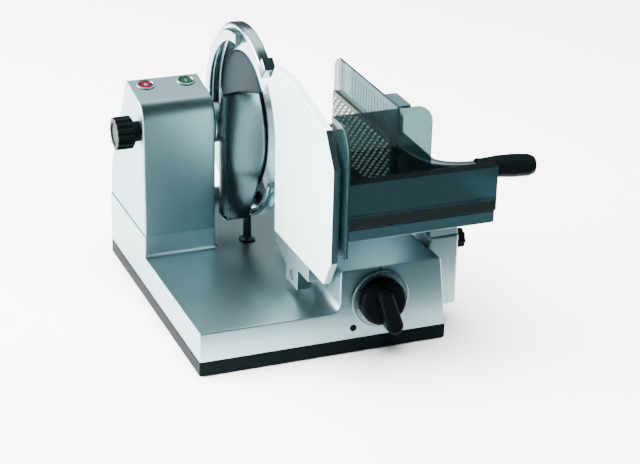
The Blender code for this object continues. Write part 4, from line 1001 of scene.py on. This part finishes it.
def arm_line():
    """The pusher arm's centre line in (X, Y): straight forward, then round to the grip."""
    points = [(ARM_X, deep) for deep in (0.221, 0.190, 0.150, 0.120, 0.100)]
    start = Vector(points[-1])
    pulls = (Vector((ARM_X, 0.046)), Vector((0.352, GRIP_Y)))
    end = Vector((GRIP_X[0] - GAP, GRIP_Y))
    steps = 28
    for index in range(1, steps + 1):
        share = index / steps
        rest = 1 - share
        point = (start * rest ** 3 + pulls[0] * 3 * share * rest ** 2
                 + pulls[1] * 3 * share ** 2 * rest + end * share ** 3)
        points.append(tuple(point))
    return points


def arm_bar():
    """A rounded section carried along the arm's centre line. It slims towards the grip."""
    line = arm_line()
    half_w, half_h = 0.0090, 0.0110
    section = rounded([(-half_w, -half_h, 0.0045), (half_w, -half_h, 0.0045),
                       (half_w, half_h, 0.0045), (-half_w, half_h, 0.0045)], 4)
    work = bmesh.new()
    rows = []
    for index, point in enumerate(line):
        before = Vector(line[max(index - 1, 0)])
        after = Vector(line[min(index + 1, len(line) - 1)])
        along = (after - before).normalized()
        side = Vector((-along.y, along.x))
        slim = 1.0 - 0.12 * (index / (len(line) - 1)) ** 2
        row = []
        for across, up in section:
            spot = Vector(point) + side * across * slim
            row.append(work.verts.new((spot.x, spot.y, ARM_Z + up * slim)))
        rows.append(row)
    return loft(work, rows)


def draw_arm():
    """The cast arm with its hinge hub, and the sleeve that carries the hub along the rod."""
    hub = tube(SLEEVE_RADIUS + GAP, 0.0150, (0.316, 0.346), "X", HINGE, 56, 0.0012)
    bore = cylinder(SLEEVE_RADIUS + GAP, (0.305, 0.355), "X", HINGE, 56)
    piece("arm_casting", cut(join(arm_bar(), hub), bore), "cast", "pusher", "pusher_arm")
    sleeve = tube(PUSHER_ROD_RADIUS + GAP, SLEEVE_RADIUS, (0.3113, 0.3507), "X", HINGE, 48, 0.0005)
    piece("hinge_sleeve", sleeve, "bronze", "pusher_carrier", "pusher_sleeve")


def spike(deep, high):
    """A four-sided spike that points to the left from the board's face."""
    work = bmesh.new()
    rows = []
    for station, half in ((SPIKE_X + 0.0002, SPIKE_BASE), (SPIKE_X - SPIKE_HEIGHT, SPIKE_TIP)):
        corners = [(deep - half, high), (deep, high - half), (deep + half, high), (deep, high + half)]
        rows.append([work.verts.new((station, *corner)) for corner in corners])
    return loft(work, rows)


def draw_pusher():
    draw_arm()
    spindle = turned([
        (0, SMOKED_X[1] + GAP, 0), (0.017, SMOKED_X[1] + GAP, 0.0004), (0.017, 0.2725, 0.0012),
        (0.0085, 0.2770, 0.004), (0.0085, 0.3010, 0), (0.0115, 0.3020, 0.0004),
        (0.0115, 0.3090, 0.0004), (0.0085, 0.3100, 0), (0.0085, 0.3217, 0.0006), (0, 0.3217, 0)],
        "X", SPINDLE, 56, 5)
    piece("spindle_turning", spindle, "cast", "pusher", "plate_spindle")
    foot = TABLE_Z[1] + 0.0035
    smoked = slab(rounded([(-0.016, foot, 0.001), (0.202, foot, 0.004), (0.202, GUARD_TOP, 0.020),
                           (-0.016, GUARD_TOP, 0.001)], 12), "X", *SMOKED_X, 0.0005, 2)
    tab = brick((SMOKED_X[0] + 0.001, 0.285), (-0.014, 0.035),
                (GUARD_TOP - 0.0035, GUARD_TOP - 0.0003), 0.0006, 0.003)
    ribs = [brick((SMOKED_X[0] - 0.0003, SMOKED_X[0] + 0.0006), (across - 0.0006, across + 0.0006),
                  (0.3120, 0.3480)) for across in [0.002 + 0.0095 * i for i in range(20)]]
    piece("pusher_screen", join(smoked, tab, merged(*ribs)), "smoked", "pusher", "pusher_plate")
    body = slab(rounded([(-0.015, foot, 0.002), (0.190, foot, 0.002), (0.190, 0.3090, 0.003),
                         (-0.015, 0.3090, 0.003)], 6), "X", SPIKE_X, SMOKED_X[0] - GAP, 0.0006, 2)
    spikes = []
    pitch = 0.0128
    row_pitch = 0.0066
    for row in range(12):
        shift = pitch / 2 if row % 2 else 0.0
        for column in range(16):
            deep = -0.0085 + pitch * column + shift
            if deep < 0.186:
                spikes.append(spike(deep, foot + 0.0065 + row_pitch * row))
    board = piece("spike_board", join(body, merged(*spikes)), "spikes", "pusher", "spike_plate",
                  sharp=25.0)
    proud = SPIKE_X + OFFSET.x - 0.0002
    second_look(board, "spike_tips", lambda face: face.center.x < proud)
    knob = fluted(PLATE_CLAMP, 0.0090, 0.0010, 10, "X", SMOKED_X[1] + GAP, 0.2900, 0.0012)
    piece("plate_clamp_knob", knob, "plastic", "pusher_lock", "pusher_clamp_knob")
    length = GRIP_X[1] - GRIP_X[0] - 0.0021
    grip = turned([
        (0, 0, 0), (0.0108, 0, 0.0008), (0.0124, 0.0025, 0.001), (0.0118, 0.0075, 0.002),
        (0.0128, 0.18 * length, 0.03), (0.0152, 0.40 * length, 0.04), (0.0162, 0.64 * length, 0.03),
        (0.0156, length - 0.010, 0.008), (0.0128, length - 0.0006, 0.004), (0, length, 0)],
        "X", (GRIP_X[0] + 0.0014, GRIP_Y, GRIP_Z), 64, 6, radians(5))
    piece("grip_moulding", grip, "plastic", "pusher", "pusher_grip")


# ---------------------------------------------------------------- carried-over CAD nodes

CARRIED = {
    "bottom_plate": "machined", "bearing_left": "machined", "bearing_right": "machined",
    "motor": "motor", "drive_belt": "rubber", "motor_bracket": "machined",
    "switch_module": "plastic", "gauge_bush": "bronze", "dial_bush": "bronze",
    "slide_rod": "steel", "blade_shaft": "machined", "drive_pulley": "nylon",
    "motor_pulley": "machined", "tie_rod": "machined", "gauge_follower": "machined",
    "dial_cam_shaft": "machined", "carriage_slider": "cast",
}


def dress_carried():
    for name, look in CARRIED.items():
        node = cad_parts[name]
        node.data.materials.clear()
        node.data.materials.append(LOOKS[look])


# ---------------------------------------------------------------- stage, light and camera

PAPER = (0.92, 0.93, 0.93, 1.0)
CARD_GREY = (0.020, 0.034, 0.038, 1.0)


def flat_sheet(name, xs, ys, height, colour):
    """A flat matt sheet of the set."""
    mesh = bpy.data.meshes.new(name)
    mesh.from_pydata([(xs[0], ys[0], height), (xs[1], ys[0], height), (xs[1], ys[1], height),
                      (xs[0], ys[1], height)], [], [(0, 1, 2, 3)])
    paper = bpy.data.materials.new(name + "_paper")
    paper.use_nodes = True
    shader = paper.node_tree.nodes["Principled BSDF"]
    shader.inputs["Base Color"].default_value = colour
    shader.inputs["Roughness"].default_value = 0.9
    shader.inputs["Specular IOR Level"].default_value = 0.0
    mesh.materials.append(paper)
    return placed(name, mesh)


def stage_floor():
    """A pale floor, and in front of the machine a dark card that only reflections see."""
    reach = 12.0
    floor = flat_sheet("floor", (-reach, reach), (-reach, reach), 0.0, PAPER)
    card = flat_sheet("front_card", (-1.20, 5.0), (-6.0, -0.265), 0.0015, CARD_GREY)
    card.visible_camera = False
    card.visible_transmission = False
    card.visible_shadow = False
    card.visible_diffuse = False


def area_light(name, at, aim, size, power):
    light = bpy.data.lights.new(name, "AREA")
    light.shape = "RECTANGLE"
    light.size, light.size_y = size
    light.energy = power
    item = placed(name, light)
    item.location = at
    item.rotation_euler = (Vector(aim) - Vector(at)).to_track_quat("-Z", "Y").to_euler()
    return item


def light_scene():
    """The top softbox lights matt surfaces only, so that the metal keeps its dark reflections."""
    world = bpy.data.worlds.new("studio")
    bpy.context.scene.world = world
    world.use_nodes = True
    nodes = world.node_tree.nodes
    nodes["Background"].inputs["Color"].default_value = (0.80, 0.92, 0.95, 1.0)
    nodes["Background"].inputs["Strength"].default_value = 0.12
    area_light("left_softbox", (-2.3, 1.1, 0.95), (0.0, 0.0, 0.12), (2.2, 1.4), 420)
    top = area_light("top_softbox", (-0.4, -0.3, 3.2), (0.0, 0.0, 0.1), (3.4, 3.4), 1000)
    top.visible_glossy = False
    area_light("back_softbox", (-0.2, 1.6, 2.6), (0.0, 0.0, 0.1), (3.0, 2.0), 55)


def place_camera():
    lens = bpy.data.cameras.new("camera")
    lens.lens = 108.0
    lens.sensor_width = 36.0
    item = placed("camera", lens)
    at = Vector((-0.926, -2.314, 1.223))
    aim = Vector((-0.0137, -0.0616, 0.1315))
    roll = Quaternion((0.0, 0.0, 1.0), radians(1.40))
    item.location = at
    item.rotation_mode = "QUATERNION"
    item.rotation_quaternion = (aim - at).to_track_quat("-Z", "Y") @ roll
    bpy.context.scene.camera = item


for draw in (draw_base, draw_skirt, draw_fittings, draw_tower, draw_release_knob, draw_neck,
             draw_blade, draw_guard, draw_deflector, draw_gauge, draw_dial, draw_carriage,
             draw_table, draw_guards, draw_pusher, dress_carried, stage_floor, light_scene,
             place_camera):
    draw()
